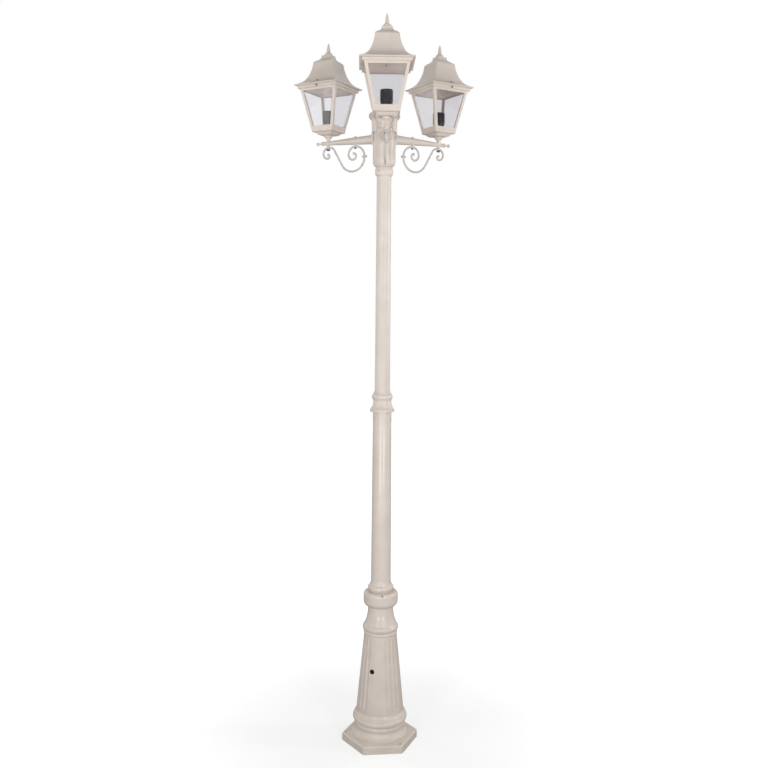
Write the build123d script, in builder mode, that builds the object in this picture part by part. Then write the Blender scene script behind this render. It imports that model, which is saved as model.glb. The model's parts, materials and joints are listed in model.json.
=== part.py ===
"""Garden lamp post with three lanterns.

A cast foot and fluted pedestal carry two tapered shafts, one above the other. On top stands a hub with
three arms at 120 degrees. Each arm carries a four-sided glazed lantern with a lift-off roof, and has a
scrolled bracket below it.

Millimetres, +Z up. The origin is on the ground on the post's axis, and the front arm points along -Y.
"""

import math
import os

from build123d import *

os.makedirs("parts", exist_ok=True)

# ---------------------------------------------------------------- driving dimensions
# Heights are those of each moulding above the one below it, so what stands on a piece moves with it.
FIT = 0.3  # play between pieces that slide or seat round each other
SEAM = 0.1  # play between faces that screws pull together

# foot and pedestal, one casting
FOOT_TURN = 4.3  # the foot's turn against the head, which the set screws leave free
FOOT_ACROSS_CORNERS = 300.0
FOOT_CORNER_R = 9.0
FOOT_EDGE = 26.0
FOOT_BEVEL = 5.0
FOOT_RISE = 6.0
FOOT_NECK_R, FOOT_NECK_BOW, FOOT_NECK = 110.0, 4.0, 27.0
BOLT_INSET, BOLT_HOLE_R = 16.0, 5.5
BOLT_COUNT, BOLT_START = 3, 60
BASE_WALL = 6.0
RING_STEP = 2.0
LOW_RING_R, LOW_RING_BOW, LOW_RING = 95.0, 4.5, 23.0
WIDE_RING_R, WIDE_RING_BOW, WIDE_RING = 101.0, 5.0, 30.0
CONE_LOW_R, CONE_COVE = 91.5, 21.0
CONE_TOP_R, CONE = 63.5, 296.0
FILLET_RING_R, FILLET_RING = 63.0, 15.0
BEAD_R, BEAD_BOW, BEAD = 65.0, 5.0, 26.0
BELL_R, BELL = 50.0, 68.0
COLLAR_R, COLLAR_FLARE, COLLAR_BAND, COLLAR_SHOULDER = 67.0, 19.0, 27.0, 14.0
COLLAR_LIP_R = 54.0
COLLAR_SCREW_R, COLLAR_SCREW_ANGLES = 3.5, (-90, 30, 150)
COLLAR_SCREW_SLOPE, COLLAR_SCREW_RECESS = 45, 3.0
FLUTE_R, FLUTE_DEPTH_LOW, FLUTE_DEPTH_TOP = 13.0, 3.4, 2.6
FLUTE_FOOT, FLUTE_HEAD = 10.0, 12.0
FLUTE_GROUPS, FLUTES_IN_GROUP, FLUTE_STEP, FLUTE_TURN = 4, 3, 15.0, -75.0
PLUG_RISE, PLUG_TURN, PLUG_R, PLUG_FLANGE_R, PLUG_FLANGE = 163.0, -120, 6.0, 9.0, 1.5

# lower shaft with its moulded foot
LOWER_SPIGOT_R, LOWER_SPIGOT = 34.0, 62.0
LOWER_FOOT_R, LOWER_BEAD_R, LOWER_BEAD = 44.0, 46.0, 26.0
LOWER_R, LOWER_COVE, LOWER_TOP_R, LOWER_SHAFT = 38.6, 25.0, 35.3, 674.0
LOWER_BORE_R = 30.0

# coupling between the shafts
SKIRT_R, SKIRT_LAP, SKIRT_EDGE = 46.3, 22.0, 9.0
SKIRT_WALL = 3.0
COUPLING_NECK_R, COUPLING_COVE, COUPLING_BEAD = 35.0, 36.0, 23.0
COUPLING_RIM, COUPLING_LIP = 7.0, 2.6
COUPLING_FLOOR, COUPLING_CABLE_R = 5.0, 21.0

# upper shaft and the ring on its top
UPPER_R, UPPER_TOP_R, UPPER_SHAFT = 29.7, 27.3, 879.0
UPPER_BORE_R = 24.0
RING_LAP, RING_CAP, RING_R, RING_BOW = 23.0, 8.0, 29.8, 4.7
RING_SCREW_DROP, RING_SCREW_R, RING_SCREW_ANGLES = 6.0, 2.5, (-125, -5, 115)

# hub
HUB_SPIGOT_R, HUB_SPIGOT_BORE_R, HUB_SPIGOT = 23.0, 18.0, 60.0
HUB_FOOT_R, HUB_R, HUB_ROUND = 28.5, 42.5, 21.0
HUB_COLUMN, HUB_CAPITAL = 111.0, 68.0
HUB_RIM_R, HUB_RIM_HEIGHT = 48.0, 10.0
HUB_CAVITY_R, HUB_FLOOR = 33.5, 5.0
HUB_FLUTES, HUB_FLUTE_R, HUB_FLUTE_DEPTH, HUB_FLUTE_MARGIN = 12, 24.0, 2.2, 6.0
LEAF_COUNT, LEAF_WIDTH, LEAF_HEIGHT, LEAF_THICKNESS, LEAF_CURL = 6, 36.0, 50.0, 3.0, 6.0
VOLUTE_COUNT, VOLUTE_R, VOLUTE_WIDTH, VOLUTE_REACH, VOLUTE_DROP = 6, 14.0, 10.0, 43.5, 14.0
VOLUTE_GROOVE_R, VOLUTE_GROOVE, VOLUTE_EYE_R = 8.5, 2.5, 3.0
CAP_R, CAP_EDGE, CAP_HEIGHT, CAP_LIP = 45.0, 3.0, 12.0, 5.0

# arms, made on the front arm and turned for the others
ARM_RISE = 107.0  # of the arms' axis over the ring's top
ARM_ROOT_R, ARM_TIP_R, ARM_BEYOND = 18.0, 6.2, 28.0
ARM_BAND, ARM_BAND_RISE = 4.0, 1.4
PAD_SEAT, PAD_WIDTH, PAD_DROP, PAD_RISE, PAD_THICKNESS, PAD_CORNER_R = 39.0, 37.0, 21.0, 25.0, 7.0, 6.0
TAIL_R, TAIL = 9.0, 17.0
ARM_NUT_ACROSS, ARM_NUT_HEIGHT = 24.0, 6.0
EYE_R, EYE_HALF_HEIGHT = 7.6, 9.0
TIP_STEM_R, TIP_STEM_DEPTH, BALL_R, BALL_GAP = 2.8, 8.0, 6.6, 19.0

# scrolled bracket in the plane of its arm: reach from the post's axis, drop below the arm's axis
BAR_R, BAR_END_R = 3.8, 5.2
LOOP_REACH, LOOP_DROP, LOOP_R = 137.5, 59.5, 52.8
LOOP_WHORL = (39.8, 30.0, 19.0, 14.0, 9.0)
CURL_DROP, CURL_SHOULDER_R, CURL_FLAT = 17.0, 20.0, 9.0
CURL_WHORL = (22.0, 18.5, 9.0, 5.0)
KNOT_R, KNOT_SPREAD = 4.2, 7.4
LUG_R, LUG_LAP = 5.5, 5.0
SCROLL_SCREW_R, SCROLL_SCREW_HEAD_R, SCROLL_SCREW_HEAD = 2.5, 4.5, 3.0
SCROLL_NUT_ACROSS, SCROLL_NUT_HEIGHT = 8.0, 4.0
CURL_LUG_R, CURL_LUG_LAP = 6.5, 4.6

# lantern, on a vertical axis at LANTERN_REACH along its arm
LANTERN_REACH = 245.0
NIPPLE_R, NIPPLE_BORE_R, NIPPLE_TAIL, NIPPLE_GRIP = 4.0, 2.5, 1.0, 8.0
NUT_ACROSS, NUT_HEIGHT = 13.0, 5.5
NECK_R, NECK, NECK_BOW = 7.6, 21.0, -2.0
NECK_RING_R, NECK_RING = 15.5, 7.0
BOWL_FOOT_HALF, BOWL_RIM_HALF, BOWL = 19.0, 46.0, 15.0
BOWL_COVE, BOWL_COVE_DROP, BOWL_RIM = 12.0, 7.0, 3.0
BOWL_DISH_HALF, BOWL_DISH, BOWL_DISH_CORNER_R = 33.0, 5.0, 4.0
FRAME_TOP_HALF, FRAME, FRAME_WALL = 78.0, 154.0, 4.2
RIM_LEDGE, RIM = 2.5, 7.0
WINDOW_FOOT, WINDOW_HEAD, STILE = 18.0, 8.0, 10.8
PANE_GAP, PANE_THICKNESS, PANE_LAP, PANE_BEVEL, PANE_BEVEL_DEPTH = 0.15, 3.0, 3.6, 9.0, 1.0
HOLDER_R, HOLDER_FOOT_R, HOLDER_STAND, HOLDER_HEIGHT = 22.0, 12.0, 16.0, 60.0
HOLDER_CONE, HOLDER_SPLIT, HOLDER_GROOVE = 9.0, 21.0, 1.0
SOCKET_R, SOCKET_DEPTH, SHELL_WALL, SHELL_PLAY = 13.5, 28.0, 0.8, 0.15
CONTACT_R, CONTACT_HOLE_R, CONTACT = 4.0, 7.0, 1.5

# lantern roof and finial
LID_PLAY, LID_SKIRT_WALL, LID_SKIRT_LAP = 1.0, 3.0, 7.5
EAVE_OVERHANG, EAVE_RISE, EAVE_EDGE, EAVE_BOW = 10.0, 8.0, 5.5, 2.4
FLARE_HALF, FLARE = 62.0, 21.0
SHOULDER_HALF, SHOULDER = 42.0, 64.0
CROWN_HALF, CROWN = 28.0, 11.0
TIER_HALF, TIER = 19.0, 18.0
TIER_EDGE = 4.0
ROOF_WALL = 3.0
LID_LUG_WIDTH, LID_LUG_THICKNESS, LID_LUG_DROP = 16.0, 3.0, 6.5
FINIAL_DISC_R, FINIAL_DISC, SPIRE_R, SPIRE_COVE, SPIRE = 15.0, 9.0, 7.5, 5.0, 33.0
STUD_R, STUD_LENGTH = 3.0, 10.0
LID_SCREW_R, LID_SCREW_HEAD_R, LID_SCREW_HEAD, LID_SCREW_LENGTH = 2.0, 4.0, 2.0, 8.0
EAVE_SCREW_INSET, EAVE_SCREW_RISE, EAVE_SCREW_TILT = 15.5, 8.0, 56
BOSS_R, BOSS_INSET, BOSS_RISE = 6.0, 13.8, 14.0

ARMS = {"front": 0, "right": 120, "left": 240}
FRONT = -90  # the front arm's direction

# ---------------------------------------------------------------- levels and radii that follow
foot_plate = FOOT_EDGE + FOOT_BEVEL
low_ring_foot = foot_plate + FOOT_RISE + FOOT_NECK
low_ring_top = low_ring_foot + LOW_RING
wide_ring_top = low_ring_top + WIDE_RING
cone_low_z = wide_ring_top + CONE_COVE
cone_top_z = cone_low_z + CONE
fillet_ring_top = cone_top_z + FILLET_RING
bead_top = fillet_ring_top + BEAD
bell_top = bead_top + BELL
collar_low = bell_top + COLLAR_FLARE
collar_high = collar_low + COLLAR_BAND
collar_top = collar_high + COLLAR_SHOULDER
lower_spigot_foot = collar_top - LOWER_SPIGOT
lower_bead_top = collar_top + LOWER_BEAD
lower_start = lower_bead_top + LOWER_COVE
lower_top = lower_start + LOWER_SHAFT
skirt_foot = lower_top - SKIRT_LAP
skirt_edge = skirt_foot + SKIRT_EDGE
coupling_neck_z = skirt_edge + COUPLING_COVE
coupling_bead_top = coupling_neck_z + COUPLING_BEAD
coupling_top = coupling_bead_top + COUPLING_RIM
socket_floor = lower_top + COUPLING_FLOOR
upper_top = socket_floor + UPPER_SHAFT
ring_foot, ring_top = upper_top - RING_LAP, upper_top + RING_CAP
ring_screw_z = upper_top - RING_SCREW_DROP
hub_spigot_foot = ring_top - HUB_SPIGOT
hub_round_top = ring_top + HUB_ROUND
hub_floor = hub_round_top + HUB_FLOOR
hub_capital_z = hub_round_top + HUB_COLUMN
hub_top = hub_capital_z + HUB_CAPITAL
volute_z = hub_top - VOLUTE_DROP
arm_z = ring_top + ARM_RISE
pad_low, pad_high = arm_z - PAD_DROP, arm_z + PAD_RISE
arm_end = LANTERN_REACH + ARM_BEYOND
neck_foot = arm_z + EYE_HALF_HEIGHT + SEAM
neck_ring_low = arm_z + NECK
neck_ring_top = neck_ring_low + NECK_RING
bowl_top = neck_ring_top + BOWL
frame_shoulder = bowl_top + FRAME
rim_top = frame_shoulder + RIM
rim_half = FRAME_TOP_HALF + RIM_LEDGE
holder_foot = bowl_top + HOLDER_STAND
holder_split = holder_foot + HOLDER_SPLIT
holder_top = holder_foot + HOLDER_HEIGHT
lid_skirt_low = rim_top - LID_SKIRT_LAP
lid_skirt_half = rim_half + LID_PLAY + LID_SKIRT_WALL
eave_half, eave_z = lid_skirt_half + EAVE_OVERHANG, rim_top + EAVE_RISE
eave_underside = eave_z - EAVE_EDGE - RING_STEP / 2
skirt_screw_z = eave_underside - LID_SCREW_HEAD_R - FIT
flare_z = eave_z + FLARE
shoulder_z = flare_z + SHOULDER
crown_z = shoulder_z + CROWN
tier_top = crown_z + TIER
finial_disc_top = tier_top + FINIAL_DISC
spire_foot = finial_disc_top + SPIRE_COVE
finial_tip = spire_foot + SPIRE


# ---------------------------------------------------------------- helpers
def save(name, piece):
    piece.label = name
    export_step(piece, f"parts/{name}.step")


def save_on_each_arm(name, piece):
    """Writes a piece made on the front arm once for each arm, turned round the post's axis."""
    for side, turn in ARMS.items():
        save(f"{name}_{side}", piece.rotate(Axis.Z, turn))


def section(*stations, plane=Plane.XZ, mirrored=False):
    """A closed profile through (across, height, bow) stations, where bow is how far the span up to a
    station swells to the right of its direction, and 0 leaves it straight."""
    with BuildSketch(plane) as profile:
        with BuildLine():
            here = stations[-1][:2]
            for across, height, bow in stations:
                if bow == 0:
                    Line(here, (across, height))
                else:
                    run, rise = across - here[0], height - here[1]
                    swell = bow / math.hypot(run, rise)
                    middle = (here[0] + across) / 2 + swell * rise, (here[1] + height) / 2 - swell * run
                    ThreePointArc(here, middle, (across, height))
                here = (across, height)
        make_face()
        if mirrored:
            mirror(about=Plane.YZ)
    return profile.sketch


def spoke(angle, reach, height, tilt=0):
    """A plane whose normal points outwards from the post's axis at an angle, raised by tilt degrees."""
    turn, lift = math.radians(angle), math.radians(tilt)
    outwards = (math.cos(turn) * math.cos(lift), math.sin(turn) * math.cos(lift), math.sin(lift))
    origin = (reach * math.cos(turn), reach * math.sin(turn), height)
    return Plane(origin=origin, x_dir=(-math.sin(turn), math.cos(turn), 0), z_dir=outwards)


def on_arm(reach, rise=0):
    """A level plane on the front arm, at a reach along it and a rise above its axis."""
    return Plane((0, -reach, arm_z + rise))


def over_arm(height):
    """A level plane on the front lantern's axis, at a height above the ground."""
    return Plane((0, -LANTERN_REACH, height))


def between(value, low, high, low_result, high_result):
    """Straight-line interpolation, which is how the castings taper."""
    return low_result + (value - low) * (high_result - low_result) / (high - low)


# ---------------------------------------------------------------- foot and pedestal casting
collar_screw_reach = (COLLAR_R + COLLAR_LIP_R) / 2
collar_screw_planes = [
    spoke(angle, collar_screw_reach, (collar_high + collar_top) / 2, COLLAR_SCREW_SLOPE)
    for angle in COLLAR_SCREW_ANGLES
]
# each screw stops where the near edge of its flat end would touch the shaft
collar_screw_slope = math.radians(COLLAR_SCREW_SLOPE)
collar_screw_run = (
    collar_screw_reach - LOWER_SPIGOT_R - FIT - COLLAR_SCREW_R * math.sin(collar_screw_slope)
) / math.cos(collar_screw_slope)
plug_z = cone_low_z + PLUG_RISE
plug_wall_r = between(plug_z, cone_low_z, cone_top_z, CONE_LOW_R, CONE_TOP_R)
foot_r = FOOT_ACROSS_CORNERS / 2


def hexagon(height, radius):
    with BuildSketch(Plane.XY.offset(height)) as sketch:
        RegularPolygon(radius, 6)
        fillet(sketch.vertices(), FOOT_CORNER_R)
    return sketch.sketch


# the foot, the collar screws and the plug are drawn square to the foot and turned together at the end
with BuildPart() as base_casting:
    extrude(hexagon(0, foot_r), amount=FOOT_EDGE)
    for low, high, low_r, high_r in (
        (FOOT_EDGE, foot_plate, foot_r, foot_r - FOOT_BEVEL),
        (foot_plate, foot_plate + FOOT_RISE, foot_r - FOOT_BEVEL, FOOT_NECK_R + FOOT_BEVEL),
    ):
        loft([hexagon(low, low_r), hexagon(high, high_r)], ruled=True)
    revolve(
        section(
            (0, 0, 0),
            (FOOT_NECK_R, 0, 0),
            (FOOT_NECK_R, foot_plate + FOOT_RISE, 0),
            (LOW_RING_R - RING_STEP, low_ring_foot - RING_STEP, -FOOT_NECK_BOW),
            (LOW_RING_R, low_ring_foot, 0),
            (LOW_RING_R, low_ring_top - RING_STEP, LOW_RING_BOW),
            (WIDE_RING_R, low_ring_top, 0),
            (WIDE_RING_R, wide_ring_top - 4 * RING_STEP, WIDE_RING_BOW),
            (WIDE_RING_R - 2 * RING_STEP, wide_ring_top, RING_STEP),
            (CONE_LOW_R, cone_low_z, -1.5 * RING_STEP),
            (CONE_TOP_R, cone_top_z, 0),
            (FILLET_RING_R, fillet_ring_top - RING_STEP, 1.5 * RING_STEP),
            (BEAD_R, fillet_ring_top, 0),
            (BEAD_R, bead_top - 2 * RING_STEP, BEAD_BOW),
            (BEAD_R - 1.5 * RING_STEP, bead_top, 0),
            (BELL_R, bell_top, -2 * RING_STEP),
            (COLLAR_LIP_R, bell_top + RING_STEP, 0),
            (COLLAR_R, collar_low, 1.5 * RING_STEP),
            (COLLAR_R, collar_high, 0),
            (COLLAR_LIP_R, collar_top, 2 * RING_STEP),
            (0, collar_top, 0),
        ),
        axis=Axis.Z,
    )
    # hollow inside, up to the ledge that the lower shaft stands on
    revolve(
        section(
            (0, 0, 0),
            (CONE_LOW_R - BASE_WALL, 0, 0),
            (CONE_LOW_R - BASE_WALL, cone_low_z, 0),
            (CONE_TOP_R - BASE_WALL, cone_top_z, 0),
            (BELL_R - BASE_WALL, bell_top - 4 * BASE_WALL, 0),
            (LOWER_BORE_R, lower_spigot_foot - BASE_WALL, 0),
            (LOWER_BORE_R, lower_spigot_foot, 0),
            (LOWER_SPIGOT_R + FIT, lower_spigot_foot, 0),
            (LOWER_SPIGOT_R + FIT, collar_top, 0),
            (0, collar_top, 0),
        ),
        axis=Axis.Z,
        mode=Mode.SUBTRACT,
    )
    # flutes, in groups of three between broad plain lands
    for group in range(FLUTE_GROUPS):
        for flute in range(FLUTES_IN_GROUP):
            angle = math.radians(FLUTE_TURN + group * 360 / FLUTE_GROUPS + flute * FLUTE_STEP)
            for height, depth in (
                (cone_low_z + FLUTE_FOOT, FLUTE_DEPTH_LOW),
                (cone_top_z - FLUTE_HEAD, FLUTE_DEPTH_TOP),
            ):
                reach = between(height, cone_low_z, cone_top_z, CONE_LOW_R, CONE_TOP_R) + FLUTE_R - depth
                with BuildSketch(Plane((reach * math.cos(angle), reach * math.sin(angle), height))):
                    Circle(FLUTE_R)
            loft(mode=Mode.SUBTRACT)
    # holding-down bolt holes
    with BuildSketch():
        with PolarLocations(foot_r - BOLT_INSET, BOLT_COUNT, start_angle=BOLT_START):
            Circle(BOLT_HOLE_R)
    extrude(amount=foot_plate + FOOT_RISE, mode=Mode.SUBTRACT)
    # slanting screw holes in the collar, and the cable hole in the pedestal
    for plane in collar_screw_planes:
        with BuildSketch(plane):
            Circle(COLLAR_SCREW_R + FIT / 2)
        extrude(amount=COLLAR_R, mode=Mode.SUBTRACT)
        with BuildSketch(plane):
            Circle(COLLAR_SCREW_R + FIT / 2)
        extrude(amount=-collar_screw_run - COLLAR_SCREW_R, mode=Mode.SUBTRACT)
    with BuildSketch(spoke(PLUG_TURN, plug_wall_r - 3 * BASE_WALL, plug_z)):
        Circle(PLUG_R + FIT)
    extrude(amount=6 * BASE_WALL, mode=Mode.SUBTRACT)
    with BuildSketch(spoke(PLUG_TURN, plug_wall_r - PLUG_FLANGE, plug_z)):
        Circle(PLUG_FLANGE_R + FIT)
    extrude(amount=BASE_WALL, mode=Mode.SUBTRACT)
save("base_casting", base_casting.part.rotate(Axis.Z, FOOT_TURN))

with BuildPart() as collar_screws:
    for plane in collar_screw_planes:
        with BuildSketch(plane.offset(-collar_screw_run)):
            Circle(COLLAR_SCREW_R)
        extrude(amount=collar_screw_run - COLLAR_SCREW_RECESS)
        with BuildSketch(plane.offset(-COLLAR_SCREW_RECESS)):
            RegularPolygon(COLLAR_SCREW_R * 0.6, 6)
        extrude(amount=-COLLAR_SCREW_R, mode=Mode.SUBTRACT)
save("collar_screws", collar_screws.part.rotate(Axis.Z, FOOT_TURN))

with BuildPart() as cable_plug:
    with BuildSketch(spoke(PLUG_TURN, plug_wall_r - PLUG_FLANGE + SEAM, plug_z)):
        Circle(PLUG_FLANGE_R)
    extrude(amount=PLUG_FLANGE)
    with BuildSketch(spoke(PLUG_TURN, plug_wall_r - PLUG_FLANGE + SEAM, plug_z)):
        Circle(PLUG_R)
    extrude(amount=-BASE_WALL - PLUG_FLANGE)
    with BuildSketch(spoke(PLUG_TURN, plug_wall_r + SEAM, plug_z)):
        Circle(PLUG_R - PLUG_FLANGE / 2)
    extrude(amount=-BASE_WALL, mode=Mode.SUBTRACT)
save("cable_plug", cable_plug.part.rotate(Axis.Z, FOOT_TURN))

# ---------------------------------------------------------------- shafts and coupling
with BuildPart() as lower_shaft:
    revolve(
        section(
            (LOWER_BORE_R, lower_spigot_foot, 0),
            (LOWER_SPIGOT_R, lower_spigot_foot, 0),
            (LOWER_SPIGOT_R, collar_top + SEAM, 0),
            (LOWER_FOOT_R, collar_top + SEAM, 0),
            (LOWER_BEAD_R, collar_top + 2 * RING_STEP, 0),
            (LOWER_BEAD_R, lower_bead_top - RING_STEP, 2.2 * RING_STEP),
            (LOWER_BEAD_R - 1.7 * RING_STEP, lower_bead_top, 0),
            (LOWER_R, lower_start, -1.5),
            (LOWER_TOP_R, lower_top, 0),
            (LOWER_BORE_R, lower_top, 0),
        ),
        axis=Axis.Z,
    )
save("lower_shaft", lower_shaft.part)

with BuildPart() as shaft_coupling:
    revolve(
        section(
            (SKIRT_R - SKIRT_WALL, skirt_foot, 0),
            (SKIRT_R, skirt_foot, 0),
            (SKIRT_R, skirt_edge, 0),
            (COUPLING_NECK_R, coupling_neck_z, -4),
            (COUPLING_NECK_R, coupling_bead_top, 5),
            (UPPER_R + FIT + COUPLING_LIP, coupling_bead_top, 0),
            (UPPER_R + FIT + COUPLING_LIP, coupling_top, 0),
            (UPPER_R + FIT, coupling_top, 0),
            (UPPER_R + FIT, socket_floor, 0),
            (COUPLING_CABLE_R, socket_floor, 0),
            (COUPLING_CABLE_R, lower_top, 0),
            (LOWER_TOP_R + FIT, lower_top, 0),
            (LOWER_TOP_R + FIT, skirt_edge + SKIRT_WALL, 0),
        ),
        axis=Axis.Z,
    )
save("shaft_coupling", shaft_coupling.part)

with BuildPart() as upper_shaft:
    revolve(
        section(
            (UPPER_BORE_R, socket_floor, 0),
            (UPPER_R, socket_floor, 0),
            (UPPER_TOP_R, upper_top, 0),
            (UPPER_BORE_R, upper_top, 0),
        ),
        axis=Axis.Z,
    )
    for angle in RING_SCREW_ANGLES:
        with BuildSketch(spoke(angle, 0, ring_screw_z)):
            Circle(RING_SCREW_R + FIT)
        extrude(amount=HUB_R, mode=Mode.SUBTRACT)
save("upper_shaft", upper_shaft.part)

with BuildPart() as hub_ring:
    revolve(
        section(
            (UPPER_TOP_R + 2 * FIT, ring_foot, 0),
            (RING_R, ring_foot, 0),
            (RING_R, ring_top, RING_BOW),
            (HUB_SPIGOT_R + FIT, ring_top, 0),
            (HUB_SPIGOT_R + FIT, upper_top + SEAM, 0),
            (UPPER_TOP_R + 2 * FIT, upper_top + SEAM, 0),
        ),
        axis=Axis.Z,
    )
    for angle in RING_SCREW_ANGLES:
        with BuildSketch(spoke(angle, 0, ring_screw_z)):
            Circle(RING_SCREW_R + FIT / 2)
        extrude(amount=HUB_R, mode=Mode.SUBTRACT)
save("hub_ring", hub_ring.part)

with BuildPart() as ring_screws:
    for angle in RING_SCREW_ANGLES:
        with BuildSketch(spoke(angle, HUB_SPIGOT_R + SEAM, ring_screw_z)):
            Circle(RING_SCREW_R)
        extrude(amount=RING_R + RING_BOW - HUB_SPIGOT_R - 1)
        with BuildSketch(spoke(angle, RING_R + RING_BOW, ring_screw_z)):
            RegularPolygon(RING_SCREW_R * 0.6, 6)
        extrude(amount=-2 * RING_SCREW_R, mode=Mode.SUBTRACT)
save("ring_screws", ring_screws.part)

# ---------------------------------------------------------------- hub with its leafy capital
with BuildPart() as leaves:
    revolve(
        section(
            (HUB_CAVITY_R + LEAF_THICKNESS, hub_capital_z, 0),
            (HUB_R + LEAF_THICKNESS, hub_capital_z, 0),
            (HUB_R + LEAF_THICKNESS + 2, hub_capital_z + LEAF_HEIGHT * 0.7, -1),
            (HUB_R + LEAF_THICKNESS + LEAF_CURL, hub_capital_z + LEAF_HEIGHT, -2),
            (HUB_CAVITY_R + LEAF_THICKNESS, hub_capital_z + LEAF_HEIGHT, 0),
        ),
        axis=Axis.Z,
    )
    for index in range(LEAF_COUNT):
        with BuildSketch(spoke(30 + index * 360 / LEAF_COUNT, 0, hub_capital_z)):
            with BuildLine():
                for side in (-1, 1):
                    ThreePointArc(
                        (side * LEAF_WIDTH * 0.36, 0),
                        (side * LEAF_WIDTH * 0.47, LEAF_HEIGHT * 0.5),
                        (0, LEAF_HEIGHT),
                    )
                Line((-LEAF_WIDTH * 0.36, 0), (LEAF_WIDTH * 0.36, 0))
            make_face()
    extrude(amount=HUB_R * 2, mode=Mode.INTERSECT)

arm_angles = [turn - 90 for turn in ARMS.values()]
volute_angles = [index * 360 / VOLUTE_COUNT for index in range(VOLUTE_COUNT)]

with BuildPart() as hub_casting:
    revolve(
        section(
            (0, hub_spigot_foot, 0),
            (HUB_SPIGOT_R, hub_spigot_foot, 0),
            (HUB_SPIGOT_R, ring_top + SEAM, 0),
            (HUB_FOOT_R, ring_top + SEAM, 0),
            (HUB_R, hub_round_top, 4),
            (HUB_R, hub_capital_z, 0),
            (HUB_RIM_R - RING_STEP, hub_top - HUB_RIM_HEIGHT, -RING_STEP),
            (HUB_RIM_R, hub_top - HUB_RIM_HEIGHT + RING_STEP, 0),
            (HUB_RIM_R, hub_top, 0),
            (0, hub_top, 0),
        ),
        axis=Axis.Z,
    )
    # shallow flutes all round the column
    for index in range(HUB_FLUTES):
        turn = math.radians((index + 0.5) * 360 / HUB_FLUTES)
        reach = HUB_R + HUB_FLUTE_R - HUB_FLUTE_DEPTH
        with BuildSketch(Plane((reach * math.cos(turn), reach * math.sin(turn), hub_round_top + HUB_FLUTE_MARGIN))):
            Circle(HUB_FLUTE_R)
    extrude(amount=HUB_COLUMN - 2 * HUB_FLUTE_MARGIN, mode=Mode.SUBTRACT)
    # seats for the arms' pads
    for angle in arm_angles:
        with BuildSketch(spoke(angle, PAD_SEAT, (pad_low + pad_high) / 2)):
            Rectangle(2 * HUB_R, pad_high - pad_low + 2 * FIT)
    extrude(amount=HUB_R, mode=Mode.SUBTRACT)
    add(leaves.part)
    # volutes under the rim, each a grooved roll with an eye
    for angle in volute_angles:
        roll = spoke(angle + 90, 0, volute_z)
        roll = Plane(origin=spoke(angle, VOLUTE_REACH, volute_z).origin, x_dir=roll.x_dir, z_dir=roll.z_dir)
        with BuildSketch(roll):
            Circle(VOLUTE_R)
        extrude(amount=VOLUTE_WIDTH / 2, both=True)
        for face in (-1, 1):
            with BuildSketch(roll.offset(face * VOLUTE_WIDTH / 2)):
                Circle(VOLUTE_GROOVE_R + VOLUTE_GROOVE / 2)
                Circle(VOLUTE_GROOVE_R - VOLUTE_GROOVE / 2, mode=Mode.SUBTRACT)
                Circle(VOLUTE_EYE_R)
            extrude(amount=-face * VOLUTE_GROOVE / 2, mode=Mode.SUBTRACT)
    # wiring chamber, and the holes that the arms' tails pass through
    with BuildSketch(Plane.XY.offset(hub_floor)):
        Circle(HUB_CAVITY_R)
    extrude(amount=hub_top - hub_floor, mode=Mode.SUBTRACT)
    with BuildSketch(Plane.XY.offset(hub_spigot_foot)):
        Circle(HUB_SPIGOT_BORE_R)
    extrude(amount=hub_top - hub_spigot_foot, mode=Mode.SUBTRACT)
    for angle in arm_angles:
        with BuildSketch(spoke(angle, HUB_SPIGOT_BORE_R, arm_z)):
            Circle(TAIL_R + FIT)
    extrude(amount=HUB_R, mode=Mode.SUBTRACT)
save("hub_casting", hub_casting.part)

with BuildPart() as hub_cap:
    revolve(
        section(
            (0, hub_top - CAP_LIP, 0),
            (HUB_CAVITY_R - FIT, hub_top - CAP_LIP, 0),
            (HUB_CAVITY_R - FIT, hub_top + SEAM, 0),
            (CAP_R, hub_top + SEAM, 0),
            (CAP_R, hub_top + CAP_EDGE, 0),
            (CAP_R / 4, hub_top + CAP_HEIGHT, 1.5),
            (0, hub_top + CAP_HEIGHT, 0),
        ),
        axis=Axis.Z,
    )
save("hub_cap", hub_cap.part)

# ---------------------------------------------------------------- arms
clip_reach = LOOP_REACH - LOOP_R + LOOP_WHORL[0]
lug_foot = LOOP_DROP - LOOP_WHORL[0] + LUG_LAP
curl_lug_foot = CURL_DROP + CURL_LUG_LAP
clip_half = between(clip_reach - LUG_R, PAD_SEAT, arm_end, ARM_ROOT_R, ARM_TIP_R) + FIT

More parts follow.
